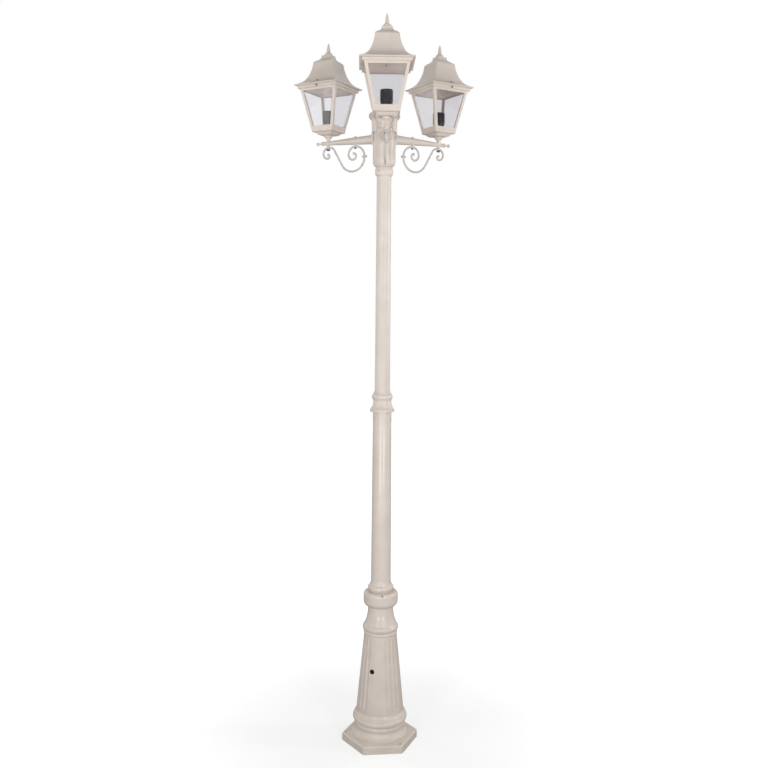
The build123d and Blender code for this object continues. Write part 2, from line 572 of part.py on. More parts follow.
with BuildPart() as arm:
    with BuildSketch(spoke(FRONT, PAD_SEAT, (pad_low + pad_high) / 2)):
        RectangleRounded(PAD_WIDTH, pad_high - pad_low, PAD_CORNER_R)
    extrude(amount=PAD_THICKNESS)
    for reach, radius in ((PAD_SEAT, ARM_ROOT_R), (arm_end, ARM_TIP_R)):
        with BuildSketch(spoke(FRONT, reach, arm_z)):
            Circle(radius)
    loft()
    with BuildSketch(spoke(FRONT, arm_end - ARM_BAND, arm_z)):
        Circle(ARM_TIP_R + ARM_BAND_RISE)
    extrude(amount=ARM_BAND)
    # threaded tail that the nut inside the hub draws in
    with BuildSketch(spoke(FRONT, PAD_SEAT - TAIL, arm_z)):
        Circle(TAIL_R)
    extrude(amount=TAIL)
    # flat-ended boss for the scroll's screw, and the eye that the lantern stands on
    for reach, radius, hole_r, half in (
        (clip_reach, LUG_R, SCROLL_SCREW_R + FIT / 2, clip_half),
        (LANTERN_REACH, EYE_R, NIPPLE_R + FIT, EYE_HALF_HEIGHT),
    ):
        with BuildSketch(on_arm(reach)):
            Circle(radius)
        extrude(amount=half, both=True)
        with BuildSketch(on_arm(reach)):
            Circle(hole_r)
        extrude(amount=half, both=True, mode=Mode.SUBTRACT)
    with BuildSketch(spoke(FRONT, arm_end, arm_z)):
        Circle(TIP_STEM_R + FIT / 2)
    extrude(amount=-TIP_STEM_DEPTH - FIT, mode=Mode.SUBTRACT)
save_on_each_arm("arm", arm.part)

# the nuts' corners bear on the round wall of the chamber
arm_nut_seat = math.sqrt(HUB_CAVITY_R**2 - (ARM_NUT_ACROSS / math.sqrt(3)) ** 2) - SEAM
with BuildPart() as arm_nuts:
    for angle in arm_angles:
        plane = spoke(angle, arm_nut_seat, arm_z)
        with BuildSketch(plane):
            RegularPolygon(ARM_NUT_ACROSS / 2, 6, major_radius=False)
            Circle(TAIL_R + FIT / 2, mode=Mode.SUBTRACT)
    extrude(amount=-ARM_NUT_HEIGHT)
save("arm_nuts", arm_nuts.part)

with BuildPart() as ball_tip:
    with BuildSketch(spoke(FRONT, arm_end - TIP_STEM_DEPTH, arm_z)):
        Circle(TIP_STEM_R)
    extrude(amount=BALL_GAP + TIP_STEM_DEPTH)
    with Locations((0, -arm_end - BALL_GAP, arm_z)):
        Sphere(BALL_R)
save_on_each_arm("ball_tip", ball_tip.part)

# ---------------------------------------------------------------- scrolled brackets
loop_centre = Vector(LOOP_REACH, -LOOP_DROP)
shoulder_centre = Vector(LANTERN_REACH - CURL_FLAT, -CURL_DROP - CURL_SHOULDER_R)
centre_line = shoulder_centre - loop_centre
# the straight run leaves the loop and meets the curl's shoulder square to this radius
leave = math.degrees(math.atan2(centre_line.Y, centre_line.X)) - math.degrees(
    math.acos((LOOP_R + CURL_SHOULDER_R) / centre_line.length)
)


def polar(centre, radius, angle):
    return centre + Vector(radius, 0).rotate(Axis.Z, angle)


def whorl(centre, radius, angle, radii):
    """Quarter arcs that wind clockwise from an arc's end, each with its own radius on the same tangent."""
    for tighter in radii:
        centre = polar(centre, radius - tighter, angle)
        CenterArc(centre, tighter, angle, -90)
        angle, radius = angle - 90, tighter
    return polar(centre, radius, angle)


# drawn flat as reach and height from the arm's axis, then stood up in the front arm's plane
with BuildLine() as bar:
    loop_end = whorl(loop_centre, LOOP_R, 180, LOOP_WHORL)
    CenterArc(loop_centre, LOOP_R, 180, leave + 180)
    Line(polar(loop_centre, LOOP_R, leave), polar(shoulder_centre, CURL_SHOULDER_R, leave + 180))
    CenterArc(shoulder_centre, CURL_SHOULDER_R, leave + 180, -90 - leave)
    # level over the eye, and then the curl outside it
    Line((LANTERN_REACH - CURL_FLAT, -CURL_DROP), (LANTERN_REACH, -CURL_DROP))
    curl_end = whorl(Vector(LANTERN_REACH, -CURL_DROP - CURL_WHORL[0]), CURL_WHORL[0], 90, CURL_WHORL)
scroll_plane = Plane((0, 0, arm_z), x_dir=(0, -1, 0), z_dir=(-1, 0, 0))
bar_path = scroll_plane.from_local_coords(bar.wire())

with BuildPart() as scroll:
    with BuildSketch(Plane(origin=bar_path @ 0, z_dir=bar_path % 0)):
        Circle(BAR_R)
    sweep(path=bar_path)
    for end in (loop_end, curl_end):
        with Locations(scroll_plane.from_local_coords(end)):
            Sphere(BAR_END_R)
    # knot of two beads on the loop's inner side, one each side of the bar
    for spread in (-KNOT_SPREAD, KNOT_SPREAD):
        with Locations((0, -LOOP_REACH + LOOP_R + spread, arm_z - LOOP_DROP)):
            Sphere(KNOT_R)
    # lug under the arm's boss, and the eye that the lantern's tube passes through
    for reach, radius, hole_r, top, foot in (
        (clip_reach, LUG_R, SCROLL_SCREW_R + FIT / 2, clip_half + SEAM, lug_foot),
        (LANTERN_REACH, CURL_LUG_R, NIPPLE_R + FIT, EYE_HALF_HEIGHT + SEAM, curl_lug_foot),
    ):
        with BuildSketch(on_arm(reach, -foot)):
            Circle(radius)
        extrude(amount=foot - top)
        with BuildSketch(on_arm(reach, -foot)):
            Circle(hole_r)
        extrude(amount=foot - top, mode=Mode.SUBTRACT)
save_on_each_arm("scroll", scroll.part)

with BuildPart() as scroll_screw:
    with BuildSketch(on_arm(clip_reach, clip_half + SEAM)):
        Circle(SCROLL_SCREW_HEAD_R)
    extrude(amount=SCROLL_SCREW_HEAD)
    fillet(scroll_screw.edges().sort_by(Axis.Z)[-1], SCROLL_SCREW_HEAD / 2)
    with BuildSketch(on_arm(clip_reach, clip_half + SEAM)):
        Circle(SCROLL_SCREW_R)
    extrude(amount=-clip_half - lug_foot - SCROLL_NUT_HEIGHT - 2 * SEAM)
with BuildPart() as scroll_nut:
    with BuildSketch(on_arm(clip_reach, -lug_foot - SEAM)):
        RegularPolygon(SCROLL_NUT_ACROSS / 2, 6, major_radius=False)
        Circle(SCROLL_SCREW_R + FIT / 2, mode=Mode.SUBTRACT)
    extrude(amount=-SCROLL_NUT_HEIGHT)
for name, fastener in (("scroll_screws", scroll_screw), ("scroll_nuts", scroll_nut)):
    with BuildPart() as all_three:
        for turn in ARMS.values():
            add(fastener.part.rotate(Axis.Z, turn))
    save(name, all_three.part)

# ---------------------------------------------------------------- lantern stem
nut_top = arm_z - curl_lug_foot - SEAM
dish_floor = bowl_top - BOWL_DISH
lantern_axis = Axis((0, -LANTERN_REACH, 0), (0, 0, 1))
lantern_side = Plane((0, -LANTERN_REACH, 0), x_dir=(1, 0, 0), z_dir=(0, -1, 0))
lantern_front = Plane((0, -LANTERN_REACH, 0), x_dir=(0, 1, 0), z_dir=(1, 0, 0))

with BuildPart() as stem_tube:
    with BuildSketch(over_arm(nut_top - NUT_HEIGHT - NIPPLE_TAIL)):
        Circle(NIPPLE_R)
        Circle(NIPPLE_BORE_R, mode=Mode.SUBTRACT)
    extrude(amount=holder_foot + NIPPLE_GRIP - nut_top + NUT_HEIGHT + NIPPLE_TAIL)
save_on_each_arm("stem_tube", stem_tube.part)

with BuildPart() as stem_nut:
    for height in (nut_top - NUT_HEIGHT, dish_floor + SEAM):
        with BuildSketch(over_arm(height)):
            RegularPolygon(NUT_ACROSS / 2, 6, major_radius=False)
            Circle(NIPPLE_R + FIT / 2, mode=Mode.SUBTRACT)
        extrude(amount=NUT_HEIGHT)
with BuildPart() as stem_nuts:
    for turn in ARMS.values():
        add(stem_nut.part.rotate(Axis.Z, turn))
save("stem_nuts", stem_nuts.part)

with BuildPart() as lantern_neck:
    revolve(
        section(
            (NIPPLE_R + FIT, neck_foot, 0),
            (NECK_R, neck_foot, 0),
            (NECK_RING_R - RING_STEP, neck_ring_low, NECK_BOW),
            (NECK_RING_R - RING_STEP / 4, neck_ring_low + RING_STEP / 2, 0),
            (NECK_RING_R - RING_STEP / 4, neck_ring_top, RING_STEP / 2),
            (NIPPLE_R + FIT, neck_ring_top, 0),
            plane=lantern_side,
        ),
        axis=lantern_axis,
    )
save_on_each_arm("lantern_neck", lantern_neck.part)

# ---------------------------------------------------------------- lantern bowl, frame and panes
bowl_outline = (
    (0, neck_ring_top + SEAM, 0),
    (BOWL_FOOT_HALF, neck_ring_top + SEAM, 0),
    (BOWL_RIM_HALF - BOWL_COVE, bowl_top - BOWL_COVE_DROP, RING_STEP),
    (BOWL_RIM_HALF, bowl_top - BOWL_RIM, -RING_STEP),
    (BOWL_RIM_HALF, bowl_top, 0),
    (0, bowl_top, 0),
)

with BuildPart() as lantern_bowl:
    # square in plan at every height: the same profile drawn through from two sides
    extrude(section(*bowl_outline, plane=lantern_side, mirrored=True), amount=BOWL_RIM_HALF, both=True)
    extrude(
        section(*bowl_outline, plane=lantern_front, mirrored=True),
        amount=BOWL_RIM_HALF,
        both=True,
        mode=Mode.INTERSECT,
    )
    with BuildSketch(over_arm(dish_floor)):
        RectangleRounded(2 * BOWL_DISH_HALF, 2 * BOWL_DISH_HALF, BOWL_DISH_CORNER_R)
    extrude(amount=BOWL_DISH, mode=Mode.SUBTRACT)
    with BuildSketch(over_arm(neck_ring_top)):
        Circle(NIPPLE_R + FIT)
    extrude(amount=bowl_top - neck_ring_top, mode=Mode.SUBTRACT)
save_on_each_arm("lantern_bowl", lantern_bowl.part)


def frame_half(height):
    """Half the frame's outer width at a height."""
    return between(height, bowl_top, frame_shoulder, BOWL_RIM_HALF, FRAME_TOP_HALF)


def window_half(height):
    return frame_half(height) - STILE


window_low, window_high = bowl_top + WINDOW_FOOT, frame_shoulder - WINDOW_HEAD


with BuildPart() as lantern_frame:
    for inset, mode in ((0, Mode.ADD), (FRAME_WALL, Mode.SUBTRACT)):
        for height in (bowl_top + SEAM, frame_shoulder):
            with BuildSketch(over_arm(height)):
                Rectangle(2 * (frame_half(height) - inset), 2 * (frame_half(height) - inset))
        loft(ruled=True, mode=mode)
    # upright rim that the roof drops over
    with BuildSketch(over_arm(frame_shoulder)):
        Rectangle(2 * rim_half, 2 * rim_half)
        Rectangle(2 * (FRAME_TOP_HALF - FRAME_WALL), 2 * (FRAME_TOP_HALF - FRAME_WALL), mode=Mode.SUBTRACT)
    extrude(amount=rim_top - frame_shoulder)
    # one tapering opening through each pair of sides
    for through in (0, 90):
        for height in (window_low, window_high):
            with BuildSketch(over_arm(height)):
                Rectangle(2 * window_half(height), 4 * FRAME_TOP_HALF, rotation=through)
        loft(ruled=True, mode=Mode.SUBTRACT)
save_on_each_arm("lantern_frame", lantern_frame.part)

# a pane lies against the inside of the bars and laps the opening by PANE_LAP
slope = math.atan2(FRAME_TOP_HALF - BOWL_RIM_HALF, frame_shoulder - bowl_top)
pane_middle = (window_low + window_high) / 2
pane_rise = (window_high - window_low) / 2 / math.cos(slope) + PANE_LAP
pane_face = frame_half(pane_middle) - (FRAME_WALL + PANE_GAP)


def pane_corners(inset):
    rise = pane_rise - inset
    for up, side in ((-1, -1), (-1, 1), (1, 1), (1, -1)):
        yield side * (window_half(pane_middle + up * rise * math.cos(slope)) + PANE_LAP - inset), up * rise


with BuildPart() as panes:
    for quarter in range(4):
        turn = math.radians(90 * quarter)
        outwards = Vector(math.cos(turn) * math.cos(slope), math.sin(turn) * math.cos(slope), -math.sin(slope))
        face_point = (
            pane_face * math.cos(turn),
            pane_face * math.sin(turn) - LANTERN_REACH,
            pane_middle,
        )
        sheet = Plane(origin=face_point, x_dir=(-math.sin(turn), math.cos(turn), 0), z_dir=outwards)
        # the flat back of the sheet, then its bevelled front
        with BuildSketch(sheet.offset(-PANE_THICKNESS)):
            Polygon(*pane_corners(0), align=None)
        extrude(amount=PANE_THICKNESS - PANE_BEVEL_DEPTH)
        with BuildSketch(sheet.offset(-PANE_BEVEL_DEPTH)):
            Polygon(*pane_corners(0), align=None)
        with BuildSketch(sheet):
            Polygon(*pane_corners(PANE_BEVEL), align=None)
        loft(ruled=True)
save_on_each_arm("panes", panes.part)

# ---------------------------------------------------------------- lampholder
shell_r = SOCKET_R + SHELL_WALL
shell_foot = holder_top - SOCKET_DEPTH - SHELL_WALL
contact_floor = shell_foot - SEAM - CONTACT - SEAM
with BuildPart() as lampholder:
    revolve(
        section(
            (0, holder_foot, 0),
            (HOLDER_FOOT_R, holder_foot, 0),
            (HOLDER_R - HOLDER_GROOVE, holder_foot + HOLDER_CONE, 2.5 * HOLDER_GROOVE),
            (HOLDER_R - HOLDER_GROOVE, holder_split - HOLDER_GROOVE, 0),
            (HOLDER_R - 2 * HOLDER_GROOVE, holder_split, 0),
            (HOLDER_R, holder_split, 0),
            (HOLDER_R, holder_top - HOLDER_GROOVE, 0),
            (HOLDER_R - HOLDER_GROOVE, holder_top, 0),
            (shell_r + SHELL_PLAY, holder_top, 0),
            (shell_r + SHELL_PLAY, shell_foot - SEAM, 0),
            (CONTACT_R + FIT / 2, shell_foot - SEAM, 0),
            (CONTACT_R + FIT / 2, contact_floor, 0),
            (0, contact_floor, 0),
            plane=lantern_side,
        ),
        axis=lantern_axis,
    )
    with BuildSketch(over_arm(holder_foot)):
        Circle(NIPPLE_R + FIT / 2)
    extrude(amount=NIPPLE_GRIP + FIT, mode=Mode.SUBTRACT)
save_on_each_arm("lampholder", lampholder.part)

# the pressed sleeve, and the contact button let into the holder under the hole in the sleeve's floor
with BuildPart() as socket_shell:
    with BuildSketch(over_arm(shell_foot)):
        Circle(shell_r)
        Circle(CONTACT_HOLE_R, mode=Mode.SUBTRACT)
    extrude(amount=SOCKET_DEPTH + SHELL_WALL)
    with BuildSketch(over_arm(holder_top - SOCKET_DEPTH)):
        Circle(SOCKET_R)
    extrude(amount=SOCKET_DEPTH, mode=Mode.SUBTRACT)
    with BuildSketch(over_arm(contact_floor + SEAM)):
        Circle(CONTACT_R)
    extrude(amount=CONTACT)
save_on_each_arm("socket_shell", socket_shell.part)

# ---------------------------------------------------------------- roof, its screws and finial
ledge = rim_top + SEAM
roof_outer = (
    (0, lid_skirt_low, 0),
    (lid_skirt_half, lid_skirt_low, 0),
    (lid_skirt_half, eave_underside, 0),
    (eave_half - EAVE_BOW, eave_z - EAVE_EDGE, 0),
    (eave_half - EAVE_BOW, eave_z, EAVE_BOW),
    (FLARE_HALF, flare_z, -1.5 * RING_STEP),
    (SHOULDER_HALF, shoulder_z, -2 * RING_STEP),
    (CROWN_HALF, crown_z, RING_STEP / 2),
    (TIER_HALF, tier_top - TIER_EDGE, -RING_STEP),
    (TIER_HALF, tier_top, 0),
    (0, tier_top, 0),
)
lug_half = FRAME_TOP_HALF - FRAME_WALL - FIT
roof_inner = (
    (0, lid_skirt_low, 0),
    (lid_skirt_half - LID_SKIRT_WALL, lid_skirt_low, 0),
    (lid_skirt_half - LID_SKIRT_WALL, ledge, 0),
    (lug_half, ledge, 0),
    (FLARE_HALF - ROOF_WALL, flare_z - ROOF_WALL, -RING_STEP),
    (SHOULDER_HALF - ROOF_WALL, shoulder_z - ROOF_WALL, -2 * RING_STEP),
    (CROWN_HALF - ROOF_WALL, crown_z - ROOF_WALL, RING_STEP / 2),
    (0, crown_z - ROOF_WALL, 0),
)
# every screw in the roof as the plane that its head sits on, its normal pointing out of the metal
boss_face = FRAME_TOP_HALF - FRAME_WALL - BOSS_INSET
boss_screw_plane = Plane((0, boss_face - LANTERN_REACH, rim_top + BOSS_RISE), x_dir=(1, 0, 0), z_dir=(0, -1, 0))
skirt_screw_planes, eave_screw_planes = [], []
eave_tilt = math.radians(EAVE_SCREW_TILT)
for side in (-1, 1):
    skirt_screw_planes.append(
        Plane((side * lid_skirt_half, -LANTERN_REACH, skirt_screw_z), x_dir=(0, 1, 0), z_dir=(side, 0, 0))
    )
    eave_screw_planes.append(
        Plane(
            (side * (eave_half - EAVE_SCREW_INSET), -LANTERN_REACH, eave_z + EAVE_SCREW_RISE),
            x_dir=(0, 1, 0),
            z_dir=(side * math.cos(eave_tilt), 0, math.sin(eave_tilt)),
        )
    )

with BuildPart() as roof_core:
    extrude(section(*roof_inner, plane=lantern_side, mirrored=True), amount=eave_half, both=True)
    extrude(
        section(*roof_inner, plane=lantern_front, mirrored=True),
        amount=eave_half,
        both=True,
        mode=Mode.INTERSECT,
    )

with BuildPart() as lantern_roof:
    extrude(section(*roof_outer, plane=lantern_side, mirrored=True), amount=eave_half, both=True)
    extrude(
        section(*roof_outer, plane=lantern_front, mirrored=True),
        amount=eave_half,
        both=True,
        mode=Mode.INTERSECT,
    )
    add(roof_core.part, mode=Mode.SUBTRACT)
    # lugs that centre the roof inside the frame's rim
    with BuildSketch(over_arm(rim_top - LID_LUG_DROP)):
        for side in (-1, 1):
            with Locations((side * (lug_half - LID_LUG_THICKNESS / 2), 0)):
                Rectangle(LID_LUG_THICKNESS, LID_LUG_WIDTH)
    extrude(amount=LID_LUG_DROP + ROOF_WALL)
    # flat seats for the screws in the eaves, and the boss inside the wall that faces the post
    for plane in eave_screw_planes:
        with BuildSketch(plane):
            Circle(LID_SCREW_HEAD_R + RING_STEP / 2)
        extrude(amount=-ROOF_WALL)
    with BuildSketch(boss_screw_plane):
        Circle(BOSS_R)
    extrude(amount=-2 * ROOF_WALL)
    for plane, depth in (
        *((plane, 2 * LID_SKIRT_WALL) for plane in skirt_screw_planes),
        *((plane, LID_SCREW_LENGTH + FIT) for plane in eave_screw_planes),
        (boss_screw_plane, LID_SCREW_LENGTH / 2 + FIT),
    ):
        with BuildSketch(plane):
            Circle(LID_SCREW_R + FIT / 2)
        extrude(amount=-depth, mode=Mode.SUBTRACT)
    with BuildSketch(over_arm(tier_top)):
        Circle(STUD_R + FIT / 2)
    extrude(amount=-STUD_LENGTH - FIT, mode=Mode.SUBTRACT)
save_on_each_arm("lantern_roof", lantern_roof.part)

with BuildPart() as roof_screws:
    for plane, length in (
        *((plane, lid_skirt_half - rim_half - FIT) for plane in skirt_screw_planes),
        *((plane, LID_SCREW_LENGTH) for plane in eave_screw_planes),
        (boss_screw_plane, LID_SCREW_LENGTH / 2),
    ):
        with BuildSketch(plane.offset(SEAM)):
            Circle(LID_SCREW_HEAD_R)
        with BuildSketch(plane.offset(SEAM + LID_SCREW_HEAD)):
            Circle(LID_SCREW_HEAD_R * 0.6)
        loft()
        with BuildSketch(plane.offset(SEAM)):
            Circle(LID_SCREW_R)
        extrude(amount=-length)
save_on_each_arm("roof_screws", roof_screws.part)

with BuildPart() as finial:
    revolve(
        section(
            (0, tier_top - STUD_LENGTH, 0),
            (STUD_R, tier_top - STUD_LENGTH, 0),
            (STUD_R, tier_top + SEAM, 0),
            (FINIAL_DISC_R - RING_STEP, tier_top + SEAM, 0),
            (FINIAL_DISC_R - RING_STEP, finial_disc_top, RING_STEP),
            (SPIRE_R, spire_foot, -0.75 * RING_STEP),
            (RING_STEP / 2, finial_tip - RING_STEP / 2, 0.6 * RING_STEP),
            (0, finial_tip, 0),
            plane=lantern_side,
        ),
        axis=lantern_axis,
    )
save_on_each_arm("finial", finial.part)
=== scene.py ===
# %% [markdown]
# # A garden lamp post with three lanterns
#
# The real object is a post of cast and drawn aluminium under satin cream paint, with twelve panes of
# bevelled glass and three black lampholders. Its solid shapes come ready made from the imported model, in
# metres, so this lesson is about what a solid model lacks: paint that catches the light, carved leaves,
# screw slots, threads, and the studio that it stands in.
#
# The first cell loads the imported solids. Each one is a mesh object whose place is in its vertices, so
# its corners can be asked for, and nothing has to be fitted by eye.

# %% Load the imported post
import json
import math

import bmesh
import bpy
from mathutils import Matrix, Vector


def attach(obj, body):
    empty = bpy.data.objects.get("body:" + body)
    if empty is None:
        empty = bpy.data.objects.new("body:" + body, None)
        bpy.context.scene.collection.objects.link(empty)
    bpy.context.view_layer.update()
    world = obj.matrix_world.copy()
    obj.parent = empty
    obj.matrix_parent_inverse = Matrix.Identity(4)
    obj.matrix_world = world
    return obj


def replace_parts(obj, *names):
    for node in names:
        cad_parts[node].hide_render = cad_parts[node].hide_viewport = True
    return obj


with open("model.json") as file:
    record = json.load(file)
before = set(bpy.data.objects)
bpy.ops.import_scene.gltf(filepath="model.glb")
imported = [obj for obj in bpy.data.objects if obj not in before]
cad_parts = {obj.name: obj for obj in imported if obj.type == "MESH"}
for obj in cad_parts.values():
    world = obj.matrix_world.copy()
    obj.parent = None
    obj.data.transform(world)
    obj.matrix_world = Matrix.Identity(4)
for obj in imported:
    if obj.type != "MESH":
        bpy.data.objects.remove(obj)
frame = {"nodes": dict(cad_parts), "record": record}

scene = bpy.context.scene
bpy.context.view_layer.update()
solids = frame["nodes"]
SIDES = {"front": 0, "right": 120, "left": 240}

# %% [markdown]
# ## The camera
#
# A photograph fixes its camera: how high it stood, how far off, and how it was turned and tilted. Here the
# eyes of three equal lanterns and of a row of level rings give it away. The camera stood 1.73 m up and
# 3.34 m off, tilted down by 5.5 degrees, so the lanterns are seen from below and the foot from above.
# Its axes are built one by one, because a small roll is easier to read that way than in Euler angles.

# %% Camera
FOCAL_PIXELS = 878.8
PICTURE_WIDTH = 768
SENSOR_WIDTH = 36
TURN = math.radians(-1.42)
YAW, PITCH, ROLL = math.radians(-0.17), math.radians(-5.54), math.radians(0.47)
CAMERA_AT = (-0.0038, -3.3369, 1.7344)

right = Vector((math.cos(YAW), math.sin(YAW), 0))
ahead = Vector((-math.sin(YAW) * math.cos(PITCH), math.cos(YAW) * math.cos(PITCH), math.sin(PITCH)))
up = right.cross(ahead)
rolled_right = math.cos(ROLL) * right + math.sin(ROLL) * up
rolled_up = math.cos(ROLL) * up - math.sin(ROLL) * right
stance = Matrix((rolled_right, rolled_up, -ahead)).transposed().to_4x4()
stance.translation = CAMERA_AT

lens = bpy.data.cameras.new("camera")
lens.sensor_width = SENSOR_WIDTH
lens.lens = FOCAL_PIXELS / PICTURE_WIDTH * lens.sensor_width
camera = bpy.data.objects.new("camera", lens)
camera.matrix_world = Matrix.Rotation(TURN, 4, "Z") @ stance
scene.collection.objects.link(camera)
scene.camera = camera
print("lens:", round(lens.lens, 2), "mm, at", tuple(round(c, 3) for c in camera.matrix_world.translation))

# %% [markdown]
# ## A small kit for materials
#
# Materials here are made of nodes. Wiring them by hand takes three lines a node, so `add` does it in one:
# it makes a node, sets its settings and its plain values, and plugs in what is linked. `new_group` opens a
# node group with named sockets, because an effect that several finishes share is built once. The second
# cell holds the few nodes that come up again and again.

# %% Helpers for nodes
def add(tree, kind, settings=None, **inputs):
    """A new node. Inputs are plain values or sockets. A name's underscores stand for spaces; i0 is socket 0."""
    made = tree.nodes.new(kind)
    for name, value in (settings or {}).items():
        setattr(made, name, value)
    for name, value in inputs.items():
        by_place = name[0] == "i" and name[1:].isdigit()
        socket = made.inputs[int(name[1:]) if by_place else name.replace("_", " ")]
        if isinstance(value, bpy.types.NodeSocket):
            tree.links.new(value, socket)
        else:
            socket.default_value = value
    return made


def new_group(name, takes, gives):
    """A node group with float inputs {name: default} and float outputs."""
    tree = bpy.data.node_groups.new(name, "ShaderNodeTree")
    for socket, default in takes.items():
        made = tree.interface.new_socket(socket, in_out="INPUT", socket_type="NodeSocketFloat")
        made.default_value = default
    for socket in gives:
        tree.interface.new_socket(socket, in_out="OUTPUT", socket_type="NodeSocketFloat")
    return tree, tree.nodes.new("NodeGroupInput").outputs, tree.nodes.new("NodeGroupOutput").inputs


def place_group(tree, group, **values):
    return add(tree, "ShaderNodeGroup", {"node_tree": group}, **values).outputs


def new_material(name):
    material = bpy.data.materials.new(name)
    material.use_nodes = True
    tree = material.node_tree
    tree.nodes.clear()
    return material, tree


print("node helpers ready")

# %% Helpers for the commonest nodes
def coordinates(tree, kind="Object"):
    return add(tree, "ShaderNodeTexCoord").outputs[kind]


def noise(tree, place, **values):
    return add(tree, "ShaderNodeTexNoise", Vector=place, **values).outputs["Fac"]


def calculate(tree, operation, a, b, clamp=False):
    return add(tree, "ShaderNodeMath", {"operation": operation, "use_clamp": clamp}, i0=a, i1=b).outputs[0]


def along(tree, vector, axis):
    """One component of a vector."""
    return add(tree, "ShaderNodeSeparateXYZ", Vector=vector).outputs[axis]


def stretch(tree, value, low, high, to_low=0.0, to_high=1.0, ease="LINEAR"):
    """The value, moved from the range low to high into the range to_low to to_high."""
    ends = {"From_Min": low, "From_Max": high, "To_Min": to_low, "To_Max": to_high}
    return add(tree, "ShaderNodeMapRange", {"interpolation_type": ease}, Value=value, **ends).outputs["Result"]


def mix(tree, kind, factor, a, b):
    """A Mix node for floats or colours. Its sockets share names, so they are picked by place."""
    made = tree.nodes.new("ShaderNodeMix")
    made.data_type = kind
    places = {"FLOAT": (0, 2, 3, 0), "RGBA": (0, 6, 7, 2)}[kind]
    for place, value in zip(places, (factor, a, b)):
        if isinstance(value, bpy.types.NodeSocket):
            tree.links.new(value, made.inputs[place])
        else:
            made.inputs[place].default_value = value
    return made.outputs[places[3]]


def relief(tree, height):
    """The normal of a surface with this height in metres."""
    return add(tree, "ShaderNodeBump", Height=height, Strength=1.0, Distance=1.0).outputs[0]


print("common nodes ready")

# %% [markdown]
# ## Paint
#
# The post is powder coated. Such paint has three marks: an orange peel of about a millimetre, a slow
# mottle where the coat is thicker or thinner, and, on sand castings, the pebbled skin of the mould that
# shows through. All three are noise at different sizes, so one group holds them, and each finish asks for
# its own share. It puts out a mask for colour, one for roughness, and a height in metres for a Bump node.

# %% Node group: coat over a casting
MOTTLE_SCALE = 14.0

coat_skin, takes, gives = new_group(
    "coat_skin",
    {"Peel": 0.00002, "Peel Size": 0.0012, "Pebble": 0.0, "Pebble Size": 0.004},
    ("Mottle", "Sheen Break", "Height"),
)
place = coordinates(coat_skin)
peel_scale = calculate(coat_skin, "DIVIDE", 1.0, takes["Peel Size"])
pebble_scale = calculate(coat_skin, "DIVIDE", 1.0, takes["Pebble Size"])
peel = noise(coat_skin, place, Scale=peel_scale, Detail=1.0)
pebble = noise(coat_skin, place, Scale=pebble_scale, Detail=3.0)
broad = noise(coat_skin, place, Scale=MOTTLE_SCALE, Detail=4.0, Roughness=0.6)
peel_height = calculate(coat_skin, "MULTIPLY", peel, takes["Peel"])
pebble_height = calculate(coat_skin, "MULTIPLY", pebble, takes["Pebble"])
coat_skin.links.new(stretch(coat_skin, broad, 0.3, 0.7, ease="SMOOTHSTEP"), gives["Mottle"])
coat_skin.links.new(pebble, gives["Sheen Break"])
coat_skin.links.new(calculate(coat_skin, "ADD", peel_height, pebble_height), gives["Height"])
print("coat_skin:", len(coat_skin.nodes), "nodes")

# %% [markdown]
# The mask picks the surfaces that face up, more in some patches than in others. It compares the surface's
# own direction with straight up, so no map has to be painted for it, and it follows every moulding. Through
# it the paints lay settled dust and painted shade on the tops of arms, roofs and ledges, which come out darker.

# %% Node group: upward-facing patches
LEDGE_BEGINS, LEDGE_FULL = 0.45, 0.98
UPWARD_PATCH_SCALE = 45.0

upward_patches, takes, gives = new_group("upward_patches", {"Amount": 0.3}, ("Mask",))
facing = along(upward_patches, add(upward_patches, "ShaderNodeNewGeometry").outputs["Normal"], "Z")
ledge = stretch(upward_patches, facing, LEDGE_BEGINS, LEDGE_FULL)
patch = noise(upward_patches, coordinates(upward_patches), Scale=UPWARD_PATCH_SCALE, Detail=5.0)
patchy = calculate(upward_patches, "MULTIPLY", ledge, patch)
upward_patches.links.new(calculate(upward_patches, "MULTIPLY", patchy, takes["Amount"], clamp=True), gives["Mask"])
print("upward_patches:", len(upward_patches.nodes), "nodes")

# %% [markdown]
# The cream itself is one colour with a slightly warmer and darker one under it, mixed by the mottle. The
# three paints differ in the skin below: pebbled on the castings, nearly smooth on the drawn shafts, and
# thin on the bent bar of the scrolls, whose coat is also a little greyer.

# %% Paints
CREAM, CREAM_THIN = (0.685, 0.610, 0.548, 1), (0.640, 0.560, 0.492, 1)
BAR_CREAM, BAR_CREAM_THIN = (0.590, 0.550, 0.520, 1), (0.540, 0.500, 0.465, 1)
# This brown is partly settled dust and partly painted shade, laid on upward faces to darken them.
DUST_AND_TOP_SHADE, DUST_ROUGHNESS = (0.46, 0.38, 0.29, 1), 0.8
SMOOTHER, ROUGHER = 0.06, 0.08
LACQUER, LACQUER_ROUGHNESS = 0.35, 0.14


def paint(name, peel, pebble, sheen, dust_and_shade, cream=CREAM, thin=CREAM_THIN):
    material, tree = new_material(name)
    skin = place_group(tree, coat_skin, Peel=peel, Pebble=pebble)
    film = place_group(tree, upward_patches, Amount=dust_and_shade)["Mask"]
    coat = mix(tree, "RGBA", skin["Mottle"], cream, thin)
    rough = mix(tree, "FLOAT", skin["Sheen Break"], sheen - SMOOTHER, sheen + ROUGHER)
    shader = add(
        tree,
        "ShaderNodeBsdfPrincipled",
        # Upward faces are mixed towards the brown: settled dust, and painted shade on their tops.
        Base_Color=mix(tree, "RGBA", film, coat, DUST_AND_TOP_SHADE),
        Roughness=mix(tree, "FLOAT", film, rough, DUST_ROUGHNESS),
        Normal=relief(tree, skin["Height"]),
        Coat_Weight=LACQUER,
        Coat_Roughness=LACQUER_ROUGHNESS,
    )
    add(tree, "ShaderNodeOutputMaterial", Surface=shader.outputs[0])
    return material


